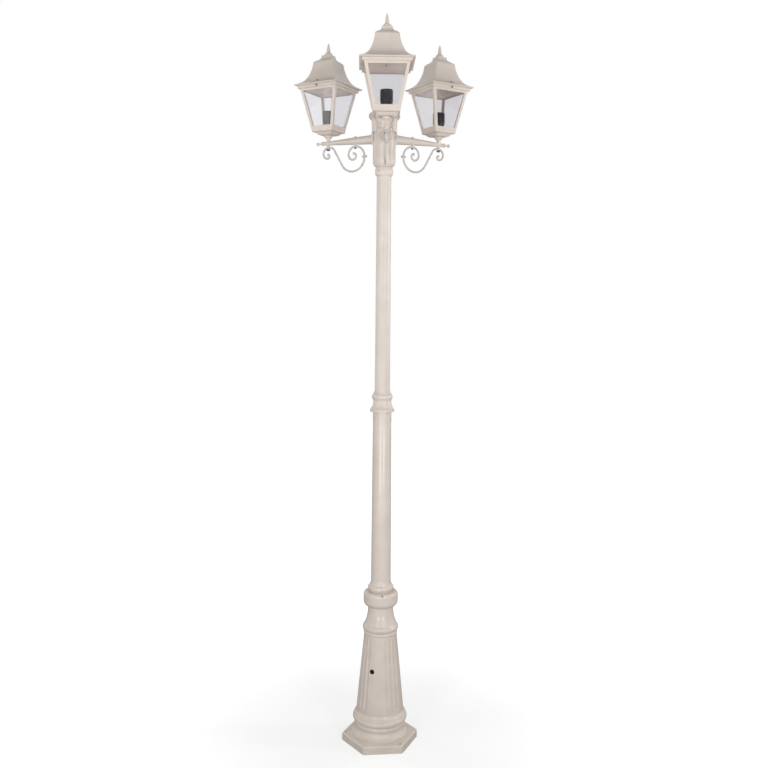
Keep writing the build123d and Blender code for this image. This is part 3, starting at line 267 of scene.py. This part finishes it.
cast_paint = paint("cast_paint", peel=0.00003, pebble=0.00014, sheen=0.42, dust_and_shade=0.35)
tube_paint = paint("tube_paint", peel=0.00003, pebble=0.0, sheen=0.36, dust_and_shade=0.2)
bar_paint = paint(
    "bar_paint", peel=0.00004, pebble=0.00003, sheen=0.40, dust_and_shade=0.25, cream=BAR_CREAM, thin=BAR_CREAM_THIN
)
print("paints:", cast_paint.name, tube_paint.name, bar_paint.name)

# %% [markdown]
# ## Bare metal, plastic and glass
#
# Screws and nuts are zinc plated, and the sleeves in the lampholders are pressed brass. Handled metal has
# fine random scratches, which break its gloss more than its colour. The scratches are noise stretched
# along one axis, in a group, because both metals use it.

# %% Node group: scratched metal
SCRATCH_STRETCH, SCRATCH_SCALE, BLOTCH_SCALE = (900.0, 120.0, 400.0), 4.0, 260.0

handling, takes, gives = new_group("handling", {"Depth": 0.000004}, ("Scuff", "Height"))
place = coordinates(handling)
stretched = add(handling, "ShaderNodeMapping", Vector=place, Scale=SCRATCH_STRETCH).outputs[0]
lines = noise(handling, stretched, Scale=SCRATCH_SCALE, Detail=3.0)
blotch = noise(handling, place, Scale=BLOTCH_SCALE, Detail=2.0)
handling.links.new(calculate(handling, "MULTIPLY", lines, blotch), gives["Scuff"])
handling.links.new(calculate(handling, "MULTIPLY", lines, takes["Depth"]), gives["Height"])
print("handling:", len(handling.nodes), "nodes")

# %% Zinc plate and brass
def bare_metal(name, bright, dull, smooth, rough):
    material, tree = new_material(name)
    marks = place_group(tree, handling)
    shader = add(
        tree,
        "ShaderNodeBsdfPrincipled",
        Base_Color=mix(tree, "RGBA", marks["Scuff"], bright, dull),
        Metallic=1.0,
        Roughness=mix(tree, "FLOAT", marks["Scuff"], smooth, rough),
        Normal=relief(tree, marks["Height"]),
    )
    add(tree, "ShaderNodeOutputMaterial", Surface=shader.outputs[0])
    return material


# The plate's colours are kept darker than fresh zinc, so the heads of screws and nuts come out dark.
zinc = bare_metal("zinc_plate", (0.26, 0.24, 0.22, 1), (0.10, 0.09, 0.08, 1), 0.32, 0.6)
brass = bare_metal("pressed_brass", (0.80, 0.60, 0.28, 1), (0.52, 0.36, 0.14, 1), 0.22, 0.55)
print("metals:", zinc.name, brass.name)

# %% [markdown]
# The lampholders are moulded in black plastic. A moulding is glossy but never quite even: the mould's own
# finish leaves a fine satin grain, and dust lies on its upward faces.

# %% Black plastic
PLASTIC, PLASTIC_DUST = (0.012, 0.012, 0.013, 1), (0.16, 0.15, 0.14, 1)

black, tree = new_material("moulded_black")
skin = place_group(tree, coat_skin, Peel=0.000012, Peel_Size=0.0006)
film = place_group(tree, upward_patches, Amount=0.25)["Mask"]
shader = add(
    tree,
    "ShaderNodeBsdfPrincipled",
    Base_Color=mix(tree, "RGBA", film, PLASTIC, PLASTIC_DUST),
    Roughness=mix(tree, "FLOAT", skin["Sheen Break"], 0.22, 0.42),
    Normal=relief(tree, skin["Height"]),
)
add(tree, "ShaderNodeOutputMaterial", Surface=shader.outputs[0])
print("plastic:", black.name)

# %% [markdown]
# Window glass is thin and nearly colourless, and what shows it is its bevelled edge, which bends the
# light, and a faint reflection. The shader keeps full transmission with the index of glass. Its shadow
# would be black, because light can't be traced through it in a few samples, so shadow rays pass through
# as if it weren't there.

# %% Glass
GLASS_TINT, GLASS_SHADOW, GLASS_INDEX = (0.845, 0.838, 0.855, 1), (0.86, 0.85, 0.87, 1), 1.46

glass, tree = new_material("bevelled_glass")
pane = add(
    tree,
    "ShaderNodeBsdfPrincipled",
    Base_Color=GLASS_TINT,
    Roughness=0.015,
    IOR=GLASS_INDEX,
    Transmission_Weight=1.0,
)
clear = add(tree, "ShaderNodeBsdfTransparent", Color=GLASS_SHADOW)
shadow_ray = add(tree, "ShaderNodeLightPath").outputs["Is Shadow Ray"]
either = add(tree, "ShaderNodeMixShader", i0=shadow_ray, i1=pane.outputs[0], i2=clear.outputs[0])
add(tree, "ShaderNodeOutputMaterial", Surface=either.outputs[0])
print("glass:", glass.name)

# %% [markdown]
# ## Dressing the solids
#
# The record names a slot for each node. Most nodes keep their shape and only get a better finish, so the
# finishes are handed out by slot, and the two shafts, which are drawn tubes and not castings, by name.

# %% Hand out the finishes
DRAWN_TUBES = ("lower_shaft", "upper_shaft")
finishes = {
    "cream_paint": cast_paint,
    "cream_steel": bar_paint,
    "steel": zinc,
    "brass": brass,
    "black_plastic": black,
    "glass": glass,
}
slot_of = {part["node"]: part["material_slot"] for part in frame["record"]["subparts"]}
for node, solid in solids.items():
    solid.data.materials.clear()
    solid.data.materials.append(tube_paint if node in DRAWN_TUBES else finishes[slot_of[node]])
print({name: sum(slot == name for slot in slot_of.values()) for name in finishes})

# %% [markdown]
# ## A small kit for pieces
#
# New pieces are meshes written in millimetres, like the drawings, and scaled once. Two ways of making a
# surface cover everything below. `rings` joins rows of points that each go round an axis, and because a
# row may change its radius and height with the angle, it makes hexagons, ribs and threads as easily as
# round things. `sheet` joins rows that don't close, for the leaves and the fillets on the volutes.

# %% Helpers for surfaces
def rings(rows, steps, closed=False):
    """Points and faces through rows. Each row is a function from an angle to (radius, height)."""
    points = []
    for row in rows:
        for step in range(steps):
            angle = math.tau * step / steps
            radius, height = row(angle)
            points.append(Vector((radius * math.cos(angle), radius * math.sin(angle), height)))
    faces = []
    for index in range(len(rows) if closed else len(rows) - 1):
        low, high = index * steps, (index + 1) % len(rows) * steps
        for step in range(steps):
            beside = (step + 1) % steps
            faces.append((low + step, low + beside, high + beside, high + step))
    return points, faces


def sheet(rows):
    """Points and faces through open rows of equal length."""
    across = len(rows[0])
    faces = [
        (i * across + j, i * across + j + 1, (i + 1) * across + j + 1, (i + 1) * across + j)
        for i in range(len(rows) - 1)
        for j in range(across - 1)
    ]
    return [point for row in rows for point in row], faces


def steady(radius, height):
    """A row that is a plain circle."""
    return lambda angle: (radius, height)


def circles(base, *profile):
    """Plain circles from (radius, height over base)."""
    return [steady(radius, base + height) for radius, height in profile]


print("surface helpers ready")

# %% [markdown]
# A shape is then stood where it belongs, and one or more shapes become an object. The object's corners
# that coincide are merged, its faces are turned outwards, and edges sharper than 40 degrees stay crisp.

# %% Helpers for pieces
MM = 0.001
MERGE_WITHIN = 0.000001
CRISP = math.radians(40)
LANTERN_REACH = 245.0


def put(shape, origin, axis, turn=0.0):
    """The shape stood on origin along axis, and then turned about the post."""
    points, faces = shape
    stand = Vector(axis).to_track_quat("Z", "Y").to_matrix()
    spin = Matrix.Rotation(turn, 3, "Z")
    return [spin @ (stand @ point + Vector(origin)) for point in points], faces


def piece(name, shapes, finish, body="post"):
    """One object out of several shapes, smooth, riding on a body."""
    points, faces = [], []
    for shape_points, shape_faces in shapes:
        faces += [tuple(corner + len(points) for corner in face) for face in shape_faces]
        points += shape_points
    work = bmesh.new()
    corners = [work.verts.new(point * MM) for point in points]
    for face in faces:
        if len({tuple(points[corner]) for corner in face}) > 2:
            work.faces.new([corners[corner] for corner in face])
    bmesh.ops.remove_doubles(work, verts=work.verts, dist=MERGE_WITHIN)
    bmesh.ops.recalc_face_normals(work, faces=work.faces)
    mesh = bpy.data.meshes.new(name)
    work.to_mesh(mesh)
    work.free()
    mesh.polygons.foreach_set("use_smooth", [True] * len(mesh.polygons))
    mesh.set_sharp_from_angle(angle=CRISP)
    mesh.materials.append(finish)
    made = bpy.data.objects.new(name, mesh)
    scene.collection.objects.link(made)
    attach(made, body)
    return made


print("piece helpers ready, lanterns at", LANTERN_REACH, "mm")

# %% [markdown]
# ## Carved leaves
#
# The hub's capital is dressed with acanthus. One leaf is a sheet that is wrapped round the hub: its outline
# swells and then closes to a tip, and is cut into lobes. Each lobe has a vein that runs up and out from the
# midrib, the edges turn down into the casting, and the tip rolls outwards.

# %% One leaf
LEAF_ROWS, LEAF_HALF_ROW = 48, 12
NOTCH_DEPTH, LAST_NOTCH = 0.34, 0.93
ROLL_BEGINS, ROLL_LENGTH = 0.74, 0.26
CROWN_HEIGHT, MIDRIB_HEIGHT, MIDRIB_HALF, VEIN_HEIGHT, CUP_DEPTH, SUNK = 2.4, 1.3, 1.3, 0.75, 1.5, 1.2


def half_width(u, width, lobes):
    """Half the leaf's width at u, which runs from 0 at its foot to 1 at its tip."""
    swell = math.sin(math.pi * (0.17 + 0.83 * u)) ** 0.75
    if u < LAST_NOTCH:
        notch = 1 - NOTCH_DEPTH * ((u * lobes) % 1.0) ** 2.5
    else:
        notch = 1 - NOTCH_DEPTH * (1 - u) / 0.07
    return max(width / 2 * swell * notch, 0.05)


def leaf(middle, foot, width, height, lobes, curl, wall):
    """A leaf round the hub. middle is its direction in degrees, and wall the radius below it by height."""
    rows = []
    for up_step in range(LEAF_ROWS + 1):
        u = up_step / LEAF_ROWS
        roll = max(0.0, (u - ROLL_BEGINS) / ROLL_LENGTH)
        level = foot + height * (u - 0.10 * roll**2)
        half = half_width(u, width, lobes)
        row = []
        for side_step in range(-LEAF_HALF_ROW, LEAF_HALF_ROW + 1):
            v = side_step / LEAF_HALF_ROW
            across = v * half
            crown = CROWN_HEIGHT * (1 - abs(v) ** 2.4) + MIDRIB_HEIGHT * math.exp(-((across / MIDRIB_HALF) ** 2))
            wave = math.cos(math.tau * (u * lobes - 0.42 * abs(v) - 0.35))
            vein = VEIN_HEIGHT * wave * min(1.0, 2.5 * abs(v)) * (1 - abs(v) ** 6)
            cup = -CUP_DEPTH * roll * (1 - v * v)
            out = wall(level) + crown + vein + cup + curl * roll**1.6 - SUNK
            turn = math.radians(middle) + across / wall(level)
            row.append(Vector((out * math.cos(turn), out * math.sin(turn), level)))
        rows.append(row)
    return sheet(rows)


print("points in a leaf:", (LEAF_ROWS + 1) * (2 * LEAF_HALF_ROW + 1))

# %% [markdown]
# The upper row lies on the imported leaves, which lean out towards the rim. The lower row lies on the round
# column and stands between the leaves of the upper row, as it does on every such capital. A Solidify
# modifier gives both rows the thickness of cast metal, inwards.

# %% Two rows of leaves
LEAVES_IN_ROW, LEAF_THICKNESS = 6, 1.1
COLUMN_R = 42.6
BELL_FOOT, BELL_HEIGHT, BELL_R = 2352.0, 52.0, 45.7
BELL_KNEE = 35.0


def column_wall(level):
    return COLUMN_R


def bell_wall(level):
    """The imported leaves' own face, which leans out slowly up to the knee and faster above it."""
    rise = min(max(level - BELL_FOOT, 0.0), BELL_HEIGHT)
    lean = 2.0 * rise / BELL_KNEE if rise < BELL_KNEE else 2.0 + 4.0 * (rise - BELL_KNEE) / 15.0
    return BELL_R + lean


upper_shapes = [leaf(30 + 60 * k, 2347.0, 40.0, 58.0, 4, 5.0, bell_wall) for k in range(LEAVES_IN_ROW)]
lower_shapes = [leaf(60 * k, 2322.0, 25.0, 40.0, 3, 4.0, column_wall) for k in range(LEAVES_IN_ROW)]
upper_leaves = piece("upper_leaves", upper_shapes, cast_paint)
lower_leaves = piece("lower_leaves", lower_shapes, cast_paint)
for leaves in (upper_leaves, lower_leaves):
    thick = leaves.modifiers.new("thickness", "SOLIDIFY")
    thick.thickness, thick.offset = LEAF_THICKNESS * MM, -1
print("leaves:", len(upper_leaves.data.polygons) + len(lower_leaves.data.polygons), "faces")

# %% [markdown]
# ## Volutes
#
# Six rolls stand out under the hub's rim. On both cheeks of each runs a raised fillet that winds into the
# eye. It is swept along a spiral: a half round of a few points is carried along, and shrinks towards the
# eye. A small button closes the spiral.

# %% Volutes
ROLLS, ROLL_EYE_R, ROLL_EYE_Z, CHEEK = 6, 43.5, 2406.0, 4.95
SPIRAL_STEPS, WINDINGS, SPIRAL_BEGINS = 96, 1.9, math.radians(95)
FILLET_R, FILLET_SHRINKS = 1.25, 0.45
UPRIGHT = Vector((0, 0, 1))


def fillet_strip(path, radii, out):
    """A half round that stands proud of a flat cheek. out is the cheek's outward direction."""
    half_turn = [math.pi * k / 8 for k in range(9)]
    rows = []
    for index, point in enumerate(path):
        ahead = (path[min(index + 1, len(path) - 1)] - path[max(index - 1, 0)]).normalized()
        beside = ahead.cross(out)
        rows.append([point + radii[index] * (math.cos(a) * beside + 0.9 * math.sin(a) * out) for a in half_turn])
    return sheet(rows)


volute_shapes = []
for k in range(ROLLS):
    turn = math.radians(60 * k)
    outwards = Vector((math.cos(turn), math.sin(turn), 0))
    sideways = Vector((-math.sin(turn), math.cos(turn), 0))
    eye = ROLL_EYE_R * outwards + Vector((0, 0, ROLL_EYE_Z))
    for cheek in (-1, 1):
        path, radii = [], []
        for step in range(SPIRAL_STEPS + 1):
            t = step / SPIRAL_STEPS
            angle = SPIRAL_BEGINS - math.tau * WINDINGS * t
            reach = 12.7 * (1 - t) ** 0.9 + 2.2
            spoke = math.cos(angle) * outwards + math.sin(angle) * UPRIGHT
            path.append(eye + cheek * CHEEK * sideways + reach * spoke)
            radii.append(FILLET_R * (1 - FILLET_SHRINKS * t))
        volute_shapes.append(fillet_strip(path, radii, cheek * sideways))
        button = rings(circles(0, (3.4, 0), (3.3, 0.9), (2.3, 1.8), (0, 2.1)), 24)
        volute_shapes.append(put(button, eye + cheek * 4.8 * sideways, cheek * sideways))
volutes = piece("volute_fillets", volute_shapes, cast_paint)
print("volutes:", len(volutes.data.polygons), "faces")

# %% [markdown]
# ## Screws
#
# A plain disc doesn't look like a screw. A real head is domed and has a cross recess, and here the recess
# is part of the same rows of points: where a point falls inside the cross, it is lowered. The thread below
# is rows too, each a circle whose middle swings round with the height.

# %% One screw
HEAD_ROWS, THREAD_ROWS, SCREW_STEPS = 14, 40, 48
THREAD_TURNS, THREAD_DEPTH = 5, 0.35
SLOT_HALF, SLOT_REACH, SLOT_DEPTH, SLOT_EDGE = 0.17, 0.62, 0.75, 0.25


def pan_screw(head, rise, shank, length):
    """A pan head screw along +Z, its seat at height 0, with a cross recess."""
    half, reach = SLOT_HALF * head, SLOT_REACH * head

    def top(radius):
        def row(angle):
            x, y = abs(radius * math.cos(angle)), abs(radius * math.sin(angle))
            inside = max(min(half - x, reach - y), min(half - y, reach - x))
            sunk = min(max(inside / SLOT_EDGE, 0.0), 1.0) * rise * SLOT_DEPTH
            return radius, rise * math.sqrt(max(1 - (radius / head) ** 2 * 0.75, 0)) - sunk

        return row

    def groove(share):
        def row(angle):
            swing = 0.5 + 0.5 * math.cos(math.tau * THREAD_TURNS * share - angle)
            return shank - THREAD_DEPTH * swing, -length * share

        return row

    rows = [top(head * k / HEAD_ROWS) for k in range(HEAD_ROWS + 1)]
    rows += circles(0, (head, rise * 0.25), (head * 0.97, 0), (shank, 0))
    rows += [groove(k / THREAD_ROWS) for k in range(1, THREAD_ROWS + 1)]
    return rings(rows + [steady(0, -length)], SCREW_STEPS)


print("rows in a screw:", HEAD_ROWS + THREAD_ROWS + 5)

# %% [markdown]
# Each roof has five screws: one on either side through the skirt, which pinches the frame's rim, one above
# it through the eave, square to its slope, and one on the boss inside. They move with their own roof.

# %% Roof screws
SKIRT_HALF, SKIRT_SCREW_Z = 84.5, 2528.2
EAVE_AT, EAVE_Z, EAVE_TILT = 79.0, 2547.0, math.radians(56)
BOSS_FACE, BOSS_Z = 60.0, 2545.0
SEAT_GAP = 0.1
ROOF_SCREW = {"head": 4.0, "rise": 2.0, "shank": 1.95}

for side, degrees in SIDES.items():
    turn = math.radians(degrees)
    shapes = []
    for hand in (-1, 1):
        skirt = pan_screw(**ROOF_SCREW, length=2.9)
        skirt_at = (hand * (SKIRT_HALF + SEAT_GAP), -LANTERN_REACH, SKIRT_SCREW_Z)
        shapes.append(put(skirt, skirt_at, (hand, 0, 0), turn))
        eave = pan_screw(**ROOF_SCREW, length=7.8)
        tilt = Vector((hand * math.cos(EAVE_TILT), 0, math.sin(EAVE_TILT)))
        eave_at = Vector((hand * EAVE_AT, -LANTERN_REACH, EAVE_Z)) + SEAT_GAP * tilt
        shapes.append(put(eave, eave_at, tilt, turn))
    boss = pan_screw(**ROOF_SCREW, length=3.8)
    shapes.append(put(boss, (0, BOSS_FACE - LANTERN_REACH - SEAT_GAP, BOSS_Z), (0, -1, 0), turn))
    screws = piece(f"cross_screws_{side}", shapes, zinc, f"lid_{side}")
    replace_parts(screws, f"roof_screws_{side}")
print("screws:", 5 * len(SIDES))

# %% [markdown]
# ## Nuts
#
# A nut is a hexagon whose corners are turned off by a cone, so each flat ends in a curved line. Two nuts
# clamp each lantern's tube, and a smaller one with a long screw holds each scroll's clip under its arm.

# %% Nuts
CLIP_REACH, CLIP_SCREW_SEAT, CLIP_NUT_LOW, CLIP_SCREW_LENGTH = 124.5, 2341.366, 2298.2, 43.166
STEM_NUT_LOW, STEM_NUT_HIGH = 2299.8, 2365.1
STEM_NUT = {"across": 13.0, "height": 5.5, "bore": 4.15}
CLIP_NUT = {"across": 8.0, "height": 4.0, "bore": 2.65}
CLIP_SCREW = {"head": 4.5, "rise": 3.0, "shank": 2.45}
UP = (0, 0, 1)


def nut(across, height, bore):
    """A hexagon nut from 0 up to height, its corners turned off at both ends."""
    flat = across / 2

    def reach(angle):
        return flat / math.cos((angle % math.radians(60)) - math.radians(30))

    def corner(upper):
        def row(angle):
            drop = (reach(angle) - 0.96 * flat) * 0.5
            return reach(angle), height - drop if upper else drop

        return row

    rows = circles(0, (bore, 0.4), (bore + 0.5, 0), (0.95 * flat, 0)) + [corner(False), corner(True)]
    rows += circles(0, (0.95 * flat, height), (bore + 0.5, height), (bore, height - 0.4))
    return rings(rows, 72, closed=True)


stem_shapes, clip_shapes, screw_shapes = [], [], []
for degrees in SIDES.values():
    turn = math.radians(degrees)
    for foot in (STEM_NUT_LOW, STEM_NUT_HIGH):
        stem_shapes.append(put(nut(**STEM_NUT), (0, -LANTERN_REACH, foot), UP, turn))
    clip_shapes.append(put(nut(**CLIP_NUT), (0, -CLIP_REACH, CLIP_NUT_LOW), UP, turn))
    clip_screw = pan_screw(**CLIP_SCREW, length=CLIP_SCREW_LENGTH)
    screw_shapes.append(put(clip_screw, (0, -CLIP_REACH, CLIP_SCREW_SEAT), UP, turn))
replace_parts(piece("stem_turned_nuts", stem_shapes, zinc), "stem_nuts")
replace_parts(piece("scroll_turned_nuts", clip_shapes, zinc), "scroll_nuts")
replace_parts(piece("scroll_turned_screws", screw_shapes, zinc), "scroll_screws")
print("nuts:", len(stem_shapes) + len(clip_shapes), "screws:", len(screw_shapes))

# %% [markdown]
# ## Lampholders
#
# A screwed lampholder is moulded in two halves that meet at a step. Shallow ribs round the upper half give
# a grip, and the sleeve inside carries a rolled thread with a pitch of 3.6 millimetres. A thread is a row
# that climbs: its radius depends on height and angle together. Below the sleeve lies the contact.

# %% Profiles of holder, sleeve and contact
HOLDER_LOW, HOLDER_STEP, HOLDER_HIGH = 2386.0, 2407.0, 2446.0
GRIP_R, GRIP_RIBS, RIB_DEPTH, RIB_FADE = 22.0, 36, 0.75, 0.7
THREAD_PITCH, THREAD_R, THREAD_SWING = 3.6, 13.75, 0.3
SLEEVE_ROWS, SLEEVE_DEPTH, SLEEVE_STEP = 86, 28.0, 0.3


def ribbed(height, depth):
    """A row with rounded ribs, as deep as depth."""
    return lambda angle: (GRIP_R - depth * (0.5 - 0.5 * math.cos(GRIP_RIBS * angle)) ** 1.5, height)


def threaded(height):
    return lambda angle: (THREAD_R + THREAD_SWING * math.cos(math.tau * height / THREAD_PITCH - angle), height)


holder_rows = circles(HOLDER_LOW, (4.2, 0), (11.6, 0), (12.0, 0.4), (17.6, 3.2), (20.4, 6.6), (21.0, 9.4))
holder_rows += circles(HOLDER_STEP, (21.0, -1.4), (20.4, -1.0), (20.2, 0), (21.5, 0.1), (22.0, 0.6), (22.0, 3.0))
holder_rows += [ribbed(HOLDER_STEP + 3.0 + RIB_FADE * k, RIB_DEPTH * k / 3) for k in range(1, 4)]
holder_rows += [ribbed(HOLDER_HIGH - 6.0 + RIB_FADE * k, RIB_DEPTH * (3 - k) / 3) for k in range(4)]
holder_rows += circles(HOLDER_HIGH, (22.0, -1.2), (21.6, -0.3), (20.9, 0), (15.0, 0))
holder_rows += circles(HOLDER_HIGH, (14.5, -0.5), (14.5, -28.9), (4.2, -28.9))
sleeve_rows = [threaded(HOLDER_HIGH - SLEEVE_DEPTH + SLEEVE_STEP * k) for k in range(SLEEVE_ROWS)]
sleeve_rows += circles(HOLDER_HIGH, (14.2, -1.6), (14.25, -0.2), (13.95, -0.2))
floor_rows = circles(HOLDER_HIGH, (13.6, -28.05), (7.0, -28.1), (7.0, -28.8), (14.2, -28.8))
contact_rows = circles(HOLDER_HIGH, (0, -28.95), (3.0, -29.0), (3.9, -29.3), (4.0, -30.4), (0, -30.4))
print("rows:", len(holder_rows), "holder,", len(sleeve_rows), "sleeve")

# %% Holders and sleeves in their lanterns
for side, degrees in SIDES.items():
    stand = ((0, -LANTERN_REACH, 0), UP, math.radians(degrees))
    holder_shapes = [put(rings(holder_rows, 180, closed=True), *stand)]
    holder = piece(f"ribbed_holder_{side}", holder_shapes, black)
    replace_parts(holder, f"lampholder_{side}")
    sleeve_shapes = [put(rings(rows, 72), *stand) for rows in (sleeve_rows, floor_rows, contact_rows)]
    sleeve = piece(f"threaded_sleeve_{side}", sleeve_shapes, brass)
    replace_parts(sleeve, f"socket_shell_{side}")
print("holder faces:", len(holder.data.polygons), "sleeve faces:", len(sleeve.data.polygons))

# %% [markdown]
# ## The studio
#
# The photograph has a pure white ground and no horizon. The world is white where the camera sees it, but
# lights the post only a third as strongly. What paint and glass mirror is told apart by direction: the
# white backdrop behind the post, and the darker room behind the camera.

# %% World
AMBIENT_BELOW, AMBIENT_ABOVE = 0.40, 0.33
ROOM, BACKDROP = 0.10, 1.0

world = bpy.data.worlds.new("white_studio")
scene.world = world
world.use_nodes = True
tree = world.node_tree
tree.nodes.clear()
rays = add(tree, "ShaderNodeLightPath").outputs
seen = calculate(tree, "MAXIMUM", rays["Is Camera Ray"], rays["Is Glossy Ray"])
seen = calculate(tree, "MAXIMUM", seen, rays["Is Transmission Ray"])
height = along(tree, coordinates(tree, "Generated"), "Z")
ambient = stretch(tree, height, -0.2, 0.8, AMBIENT_BELOW, AMBIENT_ABOVE)
depth = along(tree, coordinates(tree, "Generated"), "Y")
mirrored = stretch(tree, depth, -0.25, 0.35, ROOM, BACKDROP, ease="SMOOTHSTEP")
shown = mix(tree, "FLOAT", rays["Is Glossy Ray"], 1.0, mirrored)
sky = add(tree, "ShaderNodeBackground", Color=(1, 1, 1, 1), Strength=mix(tree, "FLOAT", seen, ambient, shown))
add(tree, "ShaderNodeOutputWorld", Surface=sky.outputs[0])
print("world:", world.name, "ambient", AMBIENT_BELOW, "to", AMBIENT_ABOVE)

# %% [markdown]
# The floor is pale matt paper. Lit alone it would be grey, so it also glows towards the camera: fully from
# 1.6 m out, where it has to melt into the white ground, and less near the foot, where it shows the shadow.

# %% Floor
FLOOR_HALF = 9
PAPER_DARK, PAPER_PALE, GRAIN_SCALE = (0.36, 0.36, 0.36, 1), (0.40, 0.40, 0.40, 1), 60.0
GLOW_NEAR, GLOW_FAR, NEAR, FAR = 0.66, 1.0, 0.3, 1.6

floor_corners = [(x * FLOOR_HALF, y * FLOOR_HALF, 0) for x, y in ((-1, -1), (1, -1), (1, 1), (-1, 1))]
floor_mesh = bpy.data.meshes.new("floor")
floor_mesh.from_pydata(floor_corners, [], [(0, 1, 2, 3)])
floor = bpy.data.objects.new("floor", floor_mesh)
scene.collection.objects.link(floor)
paper, tree = new_material("white_paper")
grain = noise(tree, coordinates(tree), Scale=GRAIN_SCALE)
matt = add(tree, "ShaderNodeBsdfDiffuse", Color=mix(tree, "RGBA", grain, PAPER_DARK, PAPER_PALE))
spot = add(tree, "ShaderNodeVectorMath", {"operation": "LENGTH"}, i0=coordinates(tree)).outputs["Value"]
fade = stretch(tree, spot, NEAR, FAR, GLOW_NEAR, GLOW_FAR, ease="SMOOTHSTEP")
seen = add(tree, "ShaderNodeLightPath").outputs["Is Camera Ray"]
glow = add(tree, "ShaderNodeEmission", Color=(1, 1, 1, 1), Strength=mix(tree, "FLOAT", seen, 0.0, fade))
both = add(tree, "ShaderNodeAddShader", i0=matt.outputs[0], i1=glow.outputs[0])
add(tree, "ShaderNodeOutputMaterial", Surface=both.outputs[0])
floor_mesh.materials.append(paper)
print("floor:", 2 * FLOOR_HALF, "m square")

# %% [markdown]
# The rest of the light comes from eight large soft lamps. Two stand in front at lantern height and two low,
# because the arms and eaves are bright below. Two stand at the sides, the left one where the left lantern's
# pane mirrors it, as in the photograph. Two behind light the back and are kept out of every reflection.

# %% Lamps
LAMPS = (
    # name, place, aim, width, height, watts
    ("front_left", (-1.9, -3.7, 2.4), (0, 0, 2.5), 1.0, 1.4, 36),
    ("front_right", (1.9, -3.7, 2.4), (0, 0, 2.5), 1.0, 1.4, 38),
    ("low_left", (-1.0, -3.0, 0.60), (0, 0, 5.0), 1.2, 0.7, 30),
    ("low_right", (1.2, -3.0, 0.60), (0, 0, 5.0), 1.2, 0.7, 27),
    ("side_left", (-2.86, -1.22, 2.0), (0, 0, 2.4), 1.2, 1.8, 16),
    ("side_right", (3.2, -0.2, 2.3), (0, 0, 2.4), 0.9, 1.6, 32),
    ("back_left", (-3.3, 2.2, 2.0), (0, 0, 1.8), 1.0, 2.2, 22),
    ("back_right", (3.3, 2.2, 2.0), (0, 0, 1.8), 1.0, 2.2, 22),
)
UNMIRRORED = ("back_left", "back_right")


def softbox(name, place, aim, width, height, watts):
    lamp = bpy.data.lights.new(name, "AREA")
    lamp.shape, lamp.size, lamp.size_y, lamp.energy = "RECTANGLE", width, height, watts
    box = bpy.data.objects.new(name, lamp)
    box.location = place
    box.rotation_euler = (Vector(aim) - Vector(place)).to_track_quat("-Z", "Y").to_euler()
    box.visible_glossy = box.visible_transmission = box.visible_camera = name not in UNMIRRORED
    scene.collection.objects.link(box)


for lamp in LAMPS:
    softbox(*lamp)

# %% [markdown]
# ## Colour
#
# The standard view shows a colour about as it is written.

# %% Finish
scene.view_settings.view_transform = "Standard"
